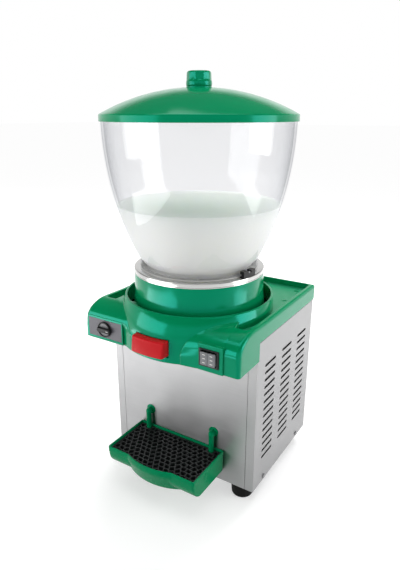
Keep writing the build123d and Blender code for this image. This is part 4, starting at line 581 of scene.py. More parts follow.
def frame_form(x, y, z, flat=None):
    """Distance to rim and lobes. Front face and brow are one ellipse above a plane, or one flat face, and
    the sides and the back meet them with rounded edges."""
    depth = BROW_BACK - LOBE_FRONT + sweep(x, z)
    u = np.maximum(BROW_BACK - y, 0) / depth
    by_bell = 1 - smooth(126.0, 140.0, np.hypot(x, y - AXIS))
    crown = LOBE_TOP + 3.0 * by_bell * (1 - smooth(-50.0, -15.0, y))
    rise = crown - np.where(x < 0, BROW_LOW + 5.0, BROW_LOW)
    v = np.maximum(z - crown + rise, 0) / rise
    power = np.where(x < 0, 2.3, 2.1)
    size = np.maximum((u**power + v**power) ** (1 / power), 1e-9)
    steep = np.hypot((u / size) ** (power - 1) / depth, (v / size) ** (power - 1) / rise)
    brow = (size - 1) / np.maximum(steep, 1e-9) if flat is None else flat - y
    top = z - crown + (LOBE_TOP - RIM_TOP) * smooth(BROW_BACK, FRONT + 30.0, y)
    corner = np.where(x < 0, np.interp(z, [LOBE_LOW, 296.0, 305.0, 319.0], [2.0, 3.0, 5.0, 9.0]),
                      np.interp(z, [LOBE_LOW, 290.0, BROW_LOW], [5.0, 6.5, 7.0]))
    corner = corner + (5.0 - corner) * smooth(LOBE_FRONT + 12.0, BROW_BACK, y)
    form = meet(np.where(y < BROW_BACK, brow, top), np.abs(x) - SKIRT_HALF, corner)
    return meet(form, y - COVER_BACK, 5.0)


def solve(low, high, outside):
    """Halve an interval 40 times: outside(value) is positive past the surface."""
    for _ in range(40):
        half_way = (low + high) / 2
        out = outside(half_way) > 0
        high, low = np.where(out, half_way, high), np.where(out, low, half_way)
    return (low + high) / 2


print("brow from", round(LOBE_FRONT, 2), "to", round(BROW_BACK, 2))

# %% [markdown]
# Each column of the frame's grid is a line in plan, from the edge of the sunk top to the outside. An even
# grid would cut the corners off, so the columns are laid out one by one. In front they run straight forwards,
# at the sides straight outwards, and they fan out at the corners. Half of them is written down and
# mirrored. The edges of the flat pads get a few columns close together, which keeps them crisp.

# %% Cover columns
HOLE_HALF, HOLE_FRONT, HOLE_REAR, HOLE_R = SKIRT_HALF - 9.5, FRONT - 25.0, COVER_BACK - 7.0, 6.0
TURN_HALF, TURN_FRONT, TURN_REAR = HOLE_HALF - HOLE_R, HOLE_FRONT + HOLE_R, HOLE_REAR - HOLE_R
PLATE_X, PLATE_Z = (-141.3, -69.7), (277.7, 310.3)
THERMO_PAD, THERMO_TOP = (-200.0, -67.8), 314.0
SWITCH_PAD, SWITCH_TOP = (79.0, 121.5), 316.5
CLOSE_BY = np.array([-0.45, -0.3, -0.15, -0.02, 0.02, 0.15, 0.3, 0.45])
pad_edges = np.abs([*PLATE_X, THERMO_PAD[1], *SWITCH_PAD])
front_x = np.unique(np.round(np.concatenate([
    np.arange(0, 40, 4.0), np.arange(40, 96, 0.65), np.arange(96, 132, 1.3), np.arange(132, 147.4, 0.4),
    (pad_edges[:, None] + CLOSE_BY).ravel()]), 3))
side_y = np.concatenate([np.arange(LOBE_FRONT + 0.3, LOBE_FRONT + 9, 0.5),
                         np.arange(LOBE_FRONT + 9, TURN_FRONT, 1.4)])
straight_y = np.sort([*np.arange(TURN_FRONT, TURN_REAR, 4.0), FRONT - 0.3005, FRONT - 0.2995])
rear_turn = np.radians(np.linspace(0, 90, 19))
rear_x = np.arange(TURN_HALF, -0.1, -6.0)
bend = np.clip((front_x - TURN_HALF) / HOLE_R, 0, 1)
normal = np.concatenate([
    grid_of(bend, -np.sqrt(1 - bend**2)), np.tile([1.0, 0.0], (len(side_y) + len(straight_y), 1)),
    grid_of(np.cos(rear_turn), np.sin(rear_turn)), np.tile([0.0, 1.0], (len(rear_x), 1))])
start = HOLE_R * normal + np.concatenate([
    grid_of(np.minimum(front_x, TURN_HALF), TURN_FRONT), np.tile([TURN_HALF, TURN_FRONT], (len(side_y), 1)),
    grid_of(TURN_HALF, straight_y), np.tile([TURN_HALF, TURN_REAR], (len(rear_turn), 1)),
    grid_of(rear_x, TURN_REAR)])
share = np.degrees(rear_turn) / 45.0
goal = np.concatenate([
    grid_of(front_x, LOBE_FRONT), grid_of(SKIRT_HALF, side_y), grid_of(SKIRT_HALF, straight_y),
    grid_of(SKIRT_HALF - (SKIRT_HALF - TURN_HALF) * np.clip(share - 1, 0, 1),
            TURN_REAR + (COVER_BACK - TURN_REAR) * np.clip(share, 0, 1)),
    grid_of(rear_x, COVER_BACK)])
start, normal, goal = [np.concatenate([half, half[::-1] * [-1.0, 1.0]]) for half in (start, normal, goal)]
in_front = np.arange(len(goal))[:, None]
in_front = np.minimum(in_front, in_front[::-1]) < len(front_x)
print(len(goal), "columns")

# %% [markdown]
# The rows of the frame cross the top and run down the outside. One way of solving can't serve both: on the
# top the height is solved at a given place, on the wall the place at a given height. They change over where
# a ray at forty-five degrees meets the surface.

# %% Cover top and walls
LIP_R = 1.2
FAR, LOWEST, HIGHEST = 1.35, 300.0, 340.0  # how far is searched: shares of a column, heights
lip = start + LIP_R * normal
way = goal - lip
length = np.linalg.norm(way, axis=1)[:, None]


def along(t, z, flat=None):
    """Distance to the frame at a share t of every column and a height z."""
    return frame_form(lip[:, :1] + t * way[:, :1], lip[:, 1:] + t * way[:, 1:], z, flat)


ray_z = RIM_TOP - 1.02 * length
ray = solve(0.0, FAR, lambda t: along(t, ray_z + t * length))
join_z = np.maximum(ray_z + ray * length, SWITCH_TOP + 1.0)
join_t = solve(0.0, FAR, lambda t: along(t, join_z))
top_t = join_t * np.sin(np.linspace(0, np.pi / 2, 30))
top_z = solve(LOWEST, HIGHEST, lambda z: along(top_t, z))
crisp = np.array([THERMO_TOP, SWITCH_TOP, *PLATE_Z])
levels = np.concatenate([np.arange(LOBE_LOW + 0.8, SWITCH_TOP, 1.3), (crisp[:, None] + CLOSE_BY).ravel()])
levels = np.unique(np.round(levels, 3))[::-1]
fall = join_z + (levels[0] + 0.5 - join_z) * np.linspace(0, 1, 10)[1:]
on_lobe = (goal[:, 1:] < FRONT - 0.3) & (np.abs(goal[:, :1]) <= SKIRT_HALF)
low_z = np.where(on_lobe, LOBE_LOW, SKIRT_LOW)
wall_z = np.concatenate([fall, np.maximum(levels, low_z + 0.8)], 1)
wall_t = solve(0.0, FAR, lambda t: along(t, wall_z))
print("top", top_z.shape, "walls", wall_z.shape)

# %% [markdown]
# Two flat pads stand on the lobes, one for the switch and one for the thermostat's plate, which lies in a
# shallow pocket. A Boolean could cut them. Moving the points of the wall keeps the grid whole: a pad pulls
# them forward to a plane and softens its edge, and the pocket pushes them back.

# %% Pads and pocket
SOFT_EDGE, POCKET = 0.45, 1.2


def pad(t, x0, x1, top, proud):
    """Flat face over the lobe between x0 and x1 up to a top, its edge falling off along a parabola."""
    x = goal[:, :1]
    inside = np.minimum(np.minimum(x - x0, x1 - x), top - wall_z)
    flat = solve(0.0, FAR, lambda s: along(s, wall_z, LOBE_FRONT - proud))
    face = flat - SOFT_EDGE * np.clip(1 - inside / SOFT_EDGE, 0, 1) ** 2 / length
    return np.where((goal[:, 1:] < BROW_BACK) & (inside > 0), np.maximum(t, face), t)


wall_t = pad(pad(wall_t, *THERMO_PAD, THERMO_TOP, 0.0), *SWITCH_PAD, SWITCH_TOP, 1.5)
in_pocket = in_front & (goal[:, :1] > PLATE_X[0]) & (goal[:, :1] < PLATE_X[1])
in_pocket = in_pocket & (wall_z > PLATE_Z[0]) & (wall_z < PLATE_Z[1])
wall_t = np.where(in_pocket, 1 - POCKET / length, wall_t)
print(int(in_pocket.sum()), "points in the pocket")

# %% [markdown]
# At its lower edge the moulding turns in to a thin hem, and at the sunk top it rolls over a small lip and
# goes down a wall that leans a little. These rows come before and after the ones above, and the last row
# joins the first one out of sight, so the frame is one closed shell.

# %% Hem and lip
hem_in, hem_up = np.array([0.2, 0.8, 2.0, 2.2, 2.4]), np.array([0.2, 0.0, 0.0, 0.3, 8.0])
quarter = np.radians(np.linspace(0, 90, 6))
inner_z = np.array([HIDDEN_LOW, 321.0, 322.6, 325.0, 328.0])
lip_back = np.concatenate([-0.09 * (RIM_TOP - inner_z), LIP_R * (1 - np.cos(quarter))])
lip_z = np.hstack([inner_z + 0 * length, top_z[:, :1] - LIP_R + LIP_R * np.sin(quarter)])
outward = np.hstack([top_t[:, 1:], wall_t, wall_t[:, -1:] - hem_in / length])
plan = np.hstack([start[:, None] + lip_back[:, None] * normal[:, None],
                  lip[:, None] + outward[..., None] * way[:, None]])
height = np.hstack([lip_z, top_z[:, 1:], wall_z, low_z + hem_up])
frame_sheet = (np.concatenate([plan, height[..., None]], -1), True, True)
print("frame grid", frame_sheet[0].shape)

# %% [markdown]
# The bell is a stack of circles. From the hem up to the shoulder they shrink a little, and from there they
# shrink and move back along a circular arc until they ring the collar. A cone under a torus would show two
# kinks. The lever's window is pressed straight back into it, and behind the lobes, where the bell is
# hidden, it only reaches down to the sunk top.

# %% Cover bell
SHOULDER_Z, APRON_R, WAIST_R, SHIFT, LIP_OUT = 304.0, 134.0, 132.0, 8.0, OPENING_R + 2.8
WINDOW_X, WINDOW_Z, WINDOW_DEEP = 31.8, np.array([281.5, 311.0]), 9.0
OPEN_TURN, WINDOW_TURN = 39.0, math.degrees(math.asin(WINDOW_X / ((APRON_R + WAIST_R) / 2)))


def bell_circle(z):
    """Radius and middle of the bell's circle at a height: a cone below the shoulder, an arc above it."""
    rise, drop = RING_TOP - SHOULDER_Z, WAIST_R + SHIFT - LIP_OUT
    ball = (drop**2 + rise**2) / (2 * drop)
    up = np.clip(z - SHOULDER_Z, 0, rise)
    close = (ball - np.sqrt(ball**2 - up**2)) / drop
    cone = np.clip((SHOULDER_Z - z) / (SHOULDER_Z - LOBE_LOW), 0, 1) * (APRON_R - WAIST_R)
    return WAIST_R + (LIP_OUT - WAIST_R) * close + cone, AXIS - SHIFT * (1 - close)


window_sides = np.array([-WINDOW_TURN, WINDOW_TURN])
bell_turn = np.concatenate([np.arange(-180, 180, 1.2), window_sides - 0.01, window_sides + 0.01,
                            [0.01 - OPEN_TURN, 0.01 + OPEN_TURN]])
bell_turn = np.radians(np.unique(np.round(bell_turn, 3)))[:, None]
bell_z = np.unique(np.concatenate([np.arange(LOBE_LOW + 0.8, RING_TOP - 0.9, 1.5), WINDOW_Z - 0.02,
                                   WINDOW_Z + 0.02]))
behind = np.abs(bell_turn) >= np.radians(OPEN_TURN)
bell_z = np.maximum(bell_z, np.where(behind, HIDDEN_LOW, 0.0))
bell_r, bell_y = bell_circle(bell_z)
in_window = (np.abs(bell_turn) < np.radians(WINDOW_TURN)) & (bell_z > WINDOW_Z[0]) & (bell_z < WINDOW_Z[1])
bell_y = bell_y + WINDOW_DEEP * in_window
rim_r, rim_z = rounded([(LIP_OUT + 0.7, RING_TOP - 0.9), (LIP_OUT, RING_TOP), (OPENING_R, RING_TOP),
                        (OPENING_R, 330.0)], [0, 0.9, 1.0, 0], closed=False)[3:].T
low_r, low_y, low_edge = bell_r[:, :1], bell_y[:, :1], bell_z[:, :1] - 0.8
zero = 0 * bell_turn
all_r = np.hstack([bell_r, rim_r + zero, OPENING_R + zero, np.where(behind, OPENING_R, low_r - 2.2),
                   low_r - 0.6])
all_y = np.hstack([bell_y, AXIS + 0 * rim_r + zero, AXIS + zero, np.where(behind, AXIS, low_y), low_y])
all_z = np.hstack([bell_z, rim_z + zero, 319.0 + zero, low_edge, low_edge])
bell_sheet = (swing(bell_turn, all_r, all_z, y=all_y), True, True)
print("bell grid", bell_sheet[0].shape)

# %% [markdown]
# Beside the bell the lobes carry on a little way inwards over the sunk top, as two short wings. Each is a
# patch of the frame's own surface with a rounded inner edge, closed to a small solid, so that it runs into
# bell and lobe without a step.

# %% Wings beside the bell
wing_y = np.linspace(-95.0, -66.0, 16)[:, None]
wing_in = np.sqrt(126.0**2 - (wing_y - AXIS + 2.0) ** 2)
wing_out = 117.5 - 4.0 * smooth(-92.0, -70.0, wing_y)
wing_x = wing_in + (wing_out - LIP_R - wing_in) * np.linspace(0, 1, 12)
edge_x = np.hstack([wing_out - LIP_R * (1 - np.sin(quarter[1:])), wing_out + 0.8, wing_in])
wings = []
for side in (-1.0, 1.0):
    wing_z = solve(LOWEST, HIGHEST, lambda z: frame_form(side * wing_x, wing_y, z)) + 0.03
    edge_z = np.hstack([wing_z[:, -1:] - LIP_R * (1 - np.cos(quarter[1:])),
                        np.full((len(wing_y), 2), FLOOR_LOW)])
    wing = grid_of(side * np.hstack([wing_x, edge_x]), wing_y, np.hstack([wing_z, edge_z]))
    wings.append((closed_ends(wing), False, True))
cover = surface("moulded_cover", frame_sheet, bell_sheet, *wings, crease=35)
dress(cover, green, "green_plastic", "cabinet", "top_cover")

# %% [markdown]
# The sunk top of the cover is flat, with a textured finish of its own. A plane with a hole would do. It is
# a fan of rays from the bell to the edge of the frame with an underside, so it overlaps both a little and
# leaves no gap. Four low screw caps sit in its corners.

# %% Sunk floor and screw caps
FLOOR_R, OVERLAP, CAP_R = OPENING_R + 0.5, 0.4, 4.5
ray_turn = np.radians(np.arange(-180, 180, 1.5))[:, None]
ray_x, ray_y = np.abs(np.sin(ray_turn)), -np.cos(ray_turn)
edge_y = np.where(ray_y > 0, HOLE_REAR + OVERLAP - AXIS, AXIS - HOLE_FRONT + OVERLAP)
to_edge = np.minimum((HOLE_HALF + OVERLAP) / np.maximum(ray_x, 1e-6),
                     edge_y / np.maximum(np.abs(ray_y), 1e-6))
floor_r = FLOOR_R + (to_edge - FLOOR_R) * np.array([0, 0.2, 0.4, 0.6, 0.8, 1.0, 1.0, 0.0])
floor_z = np.array([SUNK] * 6 + [FLOOR_LOW] * 2)
cover_floor = surface("cover_floor", (swing(ray_turn, floor_r, floor_z), True, True))
dress(cover_floor, matt_green, "green_plastic", "cabinet")
cap_path = rounded([(0, SUNK + 0.8), (CAP_R - 0.2, SUNK + 0.6), (CAP_R, SUNK - 0.5), (0, SUNK - 0.5)],
                   [0, 0.5, 0.1, 0], closed=False)
cap_x, cap_y = [(edge("cover_screws", 0, axis) + CAP_R, edge("cover_screws", 1, axis) - CAP_R)
                for axis in (0, 1)]
caps = surface("screw_caps", *[turn(cap_path, 40, (x, y)) for x in cap_x for y in cap_y])
dress(caps, green, "green_plastic", "cabinet", "cover_screws")

# %% [markdown]
# Under the hem of the cover, where it sits over the side and rear panels, a thin black strip paints the
# shadow line below the hem. A painted line would vanish in a close view. It is a thin strip instead: one
# small section carried along three sides of the cabinet.

# %% Painted shadow strip under the cover's hem
panel_rear = edge("rear_panel", 1, 1)
proud, strip_z = np.array([-0.5, 0.4, 0.4, -0.5]), np.array([301.8, 301.8, 304.9, 304.9])
strip_x = np.array([1, 1, 1, -1, -1, -1])[:, None] * (PANEL_HALF + proud)
one_side = [np.full(4, FRONT + 2.0), np.full(4, FRONT + 60.0), panel_rear + proud]
strip = grid_of(strip_x, np.array(one_side + one_side[::-1]), strip_z)
# black strip that stands for the shadow under the hem: painted shade
hem_shadow_strip = surface("hem_shadow_line", (closed_ends(strip), False, True))
dress(hem_shadow_strip, rubber, "black_rubber", "cabinet")

# %% [markdown]
# Behind the slots of the right and the rear panel hang thin black sheets. They are painted shade, which
# makes the slots look dark. They are plain thin boxes: a rectangle at the near and at the far end, with
# the ends closed.

# %% Black sheets behind the slots, painted shade
SHADE_SHEET_THICK = 1.5


def thin_box(low, high):
    """Closed box between two corners: its outline in X and Z, carried along Y, with closed ends."""
    (x0, y0, z0), (x1, y1, z1) = low, high
    return closed_ends(grid_of([x0, x1, x1, x0], [[y0], [y1]], [z0, z0, z1, z1])), False, True


shade_sheet_x, shade_sheet_y = PANEL_HALF - 2.9, edge("rear_panel", 0, 1) - 1.9
right_shade_sheet = thin_box((shade_sheet_x, FRONT + 22.0, 68.0), (shade_sheet_x + SHADE_SHEET_THICK, FRONT + 211.0, 262.0))
rear_shade_sheet = thin_box((-112.0, shade_sheet_y, 132.0), (112.0, shade_sheet_y + SHADE_SHEET_THICK, 246.0))
# black sheets behind the slots: painted shade, not a real part
shade_sheets = surface("slot_shade_sheets", right_shade_sheet, rear_shade_sheet)
dress(shade_sheets, rubber, "black_rubber", "cabinet")

# %% [markdown]
# The red lever is a bowed block. A box with a Simple Deform modifier could be bent like this, but its ends
# would stay sharp. Here a section, a rounded quadrilateral that leans forward at its foot, is carried along
# an arc round the bowl's axis and shrinks over the last millimetres at each end, which rounds the ends as
# the mould does.

# %% Press lever
LEVER_HALF, SOFT = 31.2, 2.4
SECTION_HALF = np.array([8.3, 12.8])
section = rounded([(139.0, 284.3), (155.6, 284.3), (151.4, 309.9), (139.0, 309.9)], [1.0, 2.4, 3.8, 1.0],
                  steps=9)
centre = section.mean(0)
from_end = np.concatenate([SOFT * (1 - np.cos(np.linspace(0, np.pi / 2, 9))),
                           np.linspace(SOFT, LEVER_HALF, 26)[1:]])
across = np.concatenate([from_end - LEVER_HALF, (LEVER_HALF - from_end)[::-1][1:]])[:, None]
end_near = np.maximum(SOFT - (LEVER_HALF - np.abs(across)), 0)
drawn_in = SOFT - np.sqrt(np.maximum(SOFT**2 - end_near**2, 0))
lever_r, lever_z = np.moveaxis(centre + (section - centre) * (1 - drawn_in[..., None] / SECTION_HALF), -1, 0)
lever_x = across * (1 - 0.045 * smooth(148.0, 156.0, section[:, 0]))
lever_rows = grid_of(lever_x, AXIS - np.sqrt(lever_r**2 - lever_x**2), lever_z)
lever = surface("lever_paddle", (closed_ends(lever_rows), False, True), crease=50)
dress(lever, red, "red_plastic", "lever", "press_lever")

# %% [markdown]
# The thermostat knob is a thin black ring round a grey disc, crossed by a thick bar grip. Ring and disc are
# turned on a lathe that lies along Y. The grip is a rounded rectangle in the upright plane, carried forwards
# and drawn in at its front edge. A bevelled box would do as well, but the same helper also makes the white
# line at the grip's end and the dashes of the switch.

# %% Thermostat knob
THERMO = np.array([-105.5, 294.0])


def turn_forward(profile, closed=False):
    """Sheet of a profile of (radius, distance ahead of the lobe's face) round the knob's own axis."""
    angle = once_round(96)
    r, ahead = np.asarray(profile, float).T[:, None]
    x, z = THERMO[0] + r * np.sin(angle), THERMO[1] + r * np.cos(angle)
    return grid_of(x, LOBE_FRONT - ahead, z), True, closed


def upright_loop(half, corner):
    """Rounded rectangle round the origin in the upright plane, as points of (x, z)."""
    return rounded(half * np.array([(-1, -1), (1, -1), (1, 1), (-1, 1)]), corner, steps=7)


def pill(half_x, half_z, y_back, y_front, soft, centre, corner):
    """Sheet of a bar: the loop carried forwards and drawn in along a quarter circle at its front."""
    half, quarter = np.array([half_x, half_z]), np.linspace(0, np.pi / 2, 8)
    y = np.concatenate([[y_back, y_back], y_front + soft * (1 - np.sin(quarter)), [y_front]])
    inset = np.concatenate([[min(half), 0.0], soft * (1 - np.cos(quarter)), [min(half)]])
    shrink = np.maximum(1 - inset[:, None] / half, 0)
    loop = upright_loop(half, corner) * shrink[:, None] + centre
    return grid_of(loop[..., 0], y[:, None], loop[..., 1]), False, True


skirt = rounded([(9.0, 0.35), (13.5, 0.35), (13.5, 4.0), (11.4, 4.0), (11.0, 2.0), (9.0, 2.0)],
                [0.2, 0.4, 0.8, 0.8, 0.3, 0.2])
grip = pill(14.0, 3.9, LOBE_FRONT - 2.0, LOBE_FRONT - 8.2, 1.6, THERMO + [2.0, 0], 3.2)
dial = surface("thermostat_dial", turn_forward(skirt, closed=True), grip, crease=45)
dress(dial, black, "black_plastic", "knob", "thermostat_knob")
disc_path = rounded([(0, 0.5), (11.2, 0.5), (11.2, 2.4), (0, 2.6)], [0, 0.2, 0.4, 0], closed=False)
disc = surface("thermostat_disc", turn_forward(disc_path))
dress(disc, grey, "black_plastic", "knob")
pointer = surface("thermostat_pointer", pill(2.6, 0.45, LOBE_FRONT - 7.6, LOBE_FRONT - 8.3, 0.1,
                                             THERMO + [10.6, 0], 0.3))
dress(pointer, white, "white_plastic", "knob")

# %% [markdown]
# The switch is a black frame with two grey rockers side by side. A frame is a profile carried round a
# rounded rectangle: each row is the same loop, drawn in a little more and at its own depth. Cutting a hole
# into a box would leave its edges sharp.

# %% Switch frame
SWITCH, SWITCH_HALF, SWITCH_FACE = np.array([98.5, 295.7]), np.array([17.0, 14.25]), LOBE_FRONT - 1.5
frame_in, frame_back = np.array([(15.0, 0.0), (0.0, 0.0), (0.0, -1.1), (0.15, -1.5), (0.5, -1.8), (3.6, -1.8),
                                 (3.9, -1.6), (4.1, -1.2), (4.1, 11.5), (14.0, 11.5)]).T[..., None]
drawn_in = np.minimum(frame_in, 13.9) * np.array([1.0, 0.62])
bezel_loop = upright_loop(SWITCH_HALF, 1.4) * (1 - drawn_in / SWITCH_HALF)[:, None] + SWITCH
bezel_rows = grid_of(bezel_loop[..., 0], SWITCH_FACE + frame_back, bezel_loop[..., 1])
bezel = surface("switch_frame", (bezel_rows, False, True), crease=50)
dress(bezel, black, "black_plastic", "cabinet", "switch_body")

# %% [markdown]
# A rocker is an outline in side view with a dished front, carried across and drawn in at both ends. Its
# dashes are thin raised bars, because a painted mark would need an image. The two rockers ride on bodies of
# their own, so each is a piece of its own.

# %% Rockers
ROCKER_FACE, ROCKER_HALF, ROCKER_OFF, KEY_HALF = SWITCH_FACE - 5.3, 10.45, 6.4, 6.2
side_view = rounded([(ROCKER_FACE, -ROCKER_HALF), (ROCKER_FACE + 1.0, 0), (ROCKER_FACE, ROCKER_HALF),
                     (ROCKER_FACE + 12.0, 7.3), (ROCKER_FACE + 12.0, -7.3)], [1.0, 5.0, 1.0, 1.0, 1.0])
key_end = np.array([1, 1, 0.985, 0.945, 0.88])
across = KEY_HALF * np.concatenate([-key_end, [0], key_end[::-1]])[:, None]
key_kept = np.array([0, 0.93, 0.965, 0.985, 1])
kept_size = np.concatenate([key_kept, [1], key_kept[::-1]])[:, None, None]
centre = np.array([ROCKER_FACE + 6.0, 0.0])
key_y, key_z = np.moveaxis(centre + (side_view - centre) * kept_size, -1, 0)
dash_z = np.array([-6.4, 0.0, 6.4])
dash_y = ROCKER_FACE + np.minimum(1.0 - np.abs(dash_z) / ROCKER_HALF, 0.74)
for side, body, node in ((-1, "rocker_left", "left_rocker"), (1, "rocker_right", "right_rocker")):
    x = SWITCH[0] + side * ROCKER_OFF
    key = surface(f"{node}_key", (grid_of(x + across, key_y, SWITCH[1] + key_z), False, True), crease=50)
    dress(key, grey, "grey_plastic", body, node)
    dashes = surface(f"{node}_dashes", *[pill(2.3, 0.6, y + 0.4, y - 0.15, 0.1, (x, SWITCH[1] + z), 0.4)
                                         for y, z in zip(dash_y, dash_z)])
    dress(dashes, white, "white_plastic", body)

# %% [markdown]
# The drip tray is a shallow box with a bowed nose. Sculpting it from a box would take many cuts. Seen from
# above it is one closed outline, and every row of the grid is that outline at its own height: below the rim
# band the front edge rolls under along a quarter circle, while the nose only leans back like a cone, so it
# hangs out as a belly.

# %% Drip tray
TRAY_HALF, TRAY_REAR, TRAY_WING, BOW, BOW_HALF = 88.5, FRONT - 1.0, FRONT - 97.0, 9.2, 45.0
TRAY_LOW, ROLL, BELLY, TRAY_WALL, STEP = 46.0, 30.0, 10.5, 4.2, 0.65
BACK, SIDE, WING, NOSE = 16, 10, 7, 41  # points on each stretch of the outline
nose_r = (BOW_HALF**2 + BOW**2) / (2 * BOW)
nose_y = TRAY_WING - BOW + nose_r


def tray_loop(inset, z):
    """Outline at a height, drawn in by an inset: a rectangle whose front bows out along a circle. Below the
    roll's middle the straight front moves back by R - sqrt(R^2 - drop^2), the circle shrinks evenly."""
    drop = min(max(TRAY_LOW + ROLL - z, 0.0), ROLL)
    wing = TRAY_WING + inset + ROLL - math.sqrt(ROLL**2 - drop**2)
    half, rear, radius = TRAY_HALF - inset, TRAY_REAR - inset, nose_r - inset - BELLY * drop / ROLL
    end = math.sqrt(radius**2 - (nose_y - wing) ** 2)
    bow_x = np.linspace(end, -end, NOSE)
    right = np.vstack([grid_of(half, np.linspace(rear, wing, SIDE + 2)[1:-1]),
                       grid_of(np.linspace(half, end, WING + 1)[:-1], wing)])
    corners = np.vstack([grid_of(np.linspace(-half, half, BACK), rear), right,
                         grid_of(bow_x, nose_y - np.sqrt(radius**2 - bow_x**2)), right[::-1] * [-1, 1]])
    radii = np.zeros(len(corners))
    radii[[0, BACK - 1, BACK + SIDE, -SIDE - 1]] = max(3.0 - inset, 0.3)
    radii[[BACK + SIDE + WING, BACK + SIDE + WING + NOSE - 1]] = 1.2
    path = rounded(corners, radii, steps=5)
    return grid_of(path[:, 0], path[:, 1], z)


def to_spine(loop, shares):
    """Rows that close a loop: its points move towards a line across the tray's middle."""
    spine = grid_of(np.clip(loop[:, 0], -38, 38), FRONT - 52.0, loop[:, 2])
    return list(loop + (spine - loop) * np.asarray(shares)[:, None, None])


inner_low = TRAY_LOW + 2.4
rows = to_spine(tray_loop(TRAY_WALL, inner_low), np.linspace(1, 0.1, 6))
rows += [tray_loop(TRAY_WALL, z) for z in (inner_low, 50, 53, 57, 62, 68, 73.9)]
rows += [tray_loop(inset, z) for inset, z in (
    (2.3, 74.0), (2.2, 74.3), (2.2, 87.2), (1.9, 87.8), (1.4, 88.0), (0.7, 88.0), (0.2, 87.8), (0.0, 87.2),
    (0.0, 78.0), (0.1, 77.5), (0.35, 77.2), (0.6, 77.0), (STEP, 76.5))]
rows += [tray_loop(STEP, z) for z in np.linspace(75.5, 50, 16)]
rows += [tray_loop(STEP + 4.0 * (1 - math.cos(a)), TRAY_LOW + 4.0 * (1 - math.sin(a)))
         for a in np.radians([15, 30, 45, 60, 75, 90])]
rows += to_spine(tray_loop(STEP + 4.0, TRAY_LOW), np.linspace(0.1, 1, 8))
tray_sheet = (np.array(rows), False, True)
print("tray grid", tray_sheet[0].shape)

# %% [markdown]
# Two hooks carry the tray. Each is a round bar that rises from the tray, swells to a ball at its elbow and
# turns back into the front panel. A bevelled curve would have one thickness. Here a circle is carried along
# the bent path, and its radius changes on the way.

# %% Tray hooks
HOOK_X, HOOK_Y, HOOK_LOW, HOOK_Z, ELBOW, HOOK_END = 67.0, FRONT - 7.8, 47.5, 118.0, 5.0, FRONT + 12.9
RISE, REACH = 15, 8  # points on the upright and on the part that goes into the panel
bend_by = np.radians(np.linspace(0, 90, 13))[1:]
path_y = np.concatenate([np.full(RISE, HOOK_Y), HOOK_Y + ELBOW * (1 - np.cos(bend_by)),
                         np.linspace(HOOK_Y + ELBOW, HOOK_END, REACH)[1:], [HOOK_END]])[:, None]
path_z = np.concatenate([[HOOK_LOW], np.linspace(HOOK_LOW, HOOK_Z - ELBOW, RISE - 1),
                         HOOK_Z - ELBOW + ELBOW * np.sin(bend_by), np.full(REACH, HOOK_Z)])[:, None]
lean = np.concatenate([np.zeros(RISE), bend_by, np.full(REACH, np.pi / 2)])[:, None]
thick = 4.6 + 1.5 * np.exp(-((np.arange(len(lean)) - 20.0) / 4.0) ** 2)
thick[[0, -1]] = 0.0
angle = once_round(40).T
out_x, out_n = thick[:, None] * np.cos(angle), thick[:, None] * np.sin(angle)
hook_y, hook_z = path_y - out_n * np.cos(lean), path_z + out_n * np.sin(lean)
hooks = [(grid_of(x + out_x, hook_y, hook_z), False, True) for x in (-HOOK_X, HOOK_X)]
tray = surface("drip_tray_moulded", tray_sheet, *hooks, crease=30)
dress(tray, tray_green, "green_plastic", "tray", "drip_tray")

# %% [markdown]
# Four rubber feet carry the cabinet. They taper slightly, and the edge that meets the counter is rounded.
# Cones with a bevel would look the same. The lathe is at hand, and all four are one piece, as in the frame.

# %% Feet
FOOT_IN = 20.5  # from the edge of the feet's box to the middle of a foot
foot_path = rounded([(0, 0.0), (18.4, 0.0), (20.4, 25.0), (0, 25.0)], [0, 4.0, 0.5, 0], closed=False, steps=8)
foot_x = edge("feet", 1, 0) - FOOT_IN
foot_y = (edge("feet", 0, 1) + FOOT_IN, edge("feet", 1, 1) - FOOT_IN)
feet = surface("rubber_feet", *[turn(foot_path, 64, (x, y)) for x in (-foot_x, foot_x) for y in foot_y])
dress(feet, rubber, "black_rubber", "cabinet", "feet")

# %% [markdown]
# The camera stands to the front right and a little above, where the proportions of lid, bowl and cabinet
# read well. It could be placed by eye. Place, tilt and lens come from fitting the cabinet's straight edges
# instead, so that they run as they would in a picture of the real machine.

# %% Camera
FOCAL, TILT, HEADING = 504.34 / 570.0, 18.76, 32.18  # focal length as a share of the picture's height
camera_data = bpy.data.cameras.new("camera")
camera_data.sensor_width = 36.0
camera_data.lens = FOCAL * camera_data.sensor_width
camera = bpy.data.objects.new("camera", camera_data)
camera.location = (0.44126, (FRONT - 638.78) * MM, 0.63502)
camera.rotation_euler = (math.radians(90 - TILT), 0, math.radians(HEADING))
bpy.context.scene.collection.objects.link(camera)
bpy.context.scene.camera = camera
print("lens", round(camera_data.lens, 2))

# %% [markdown]
# A product on white stands before a pale backdrop that ends somewhere above it. The world does the same: it
# is white round the horizon and dark overhead, so that gloss shows the shape of what it lies on. The camera
# always sees white, and mirror-like reflections see the backdrop at full strength. Its soft light on the
# object is weaker, and comes from overhead as well. An even white world would be simpler, but it leaves
# gloss without contrast.

# %% World
scene = bpy.context.scene
scene.view_settings.view_transform = "Standard"
world = bpy.data.worlds.new("pale studio")
scene.world = world
world.use_nodes = True


def seen_rays(tree):
    """Light Path, and the larger of its camera and transmission rays: what is seen, also through the bowl."""
    rays = put(tree, "LightPath")
    seen = put(tree, "Math", operation="MAXIMUM")
    wire(tree, (rays, "Is Camera Ray", seen, 0), (rays, "Is Transmission Ray", seen, 1))
    return rays, seen


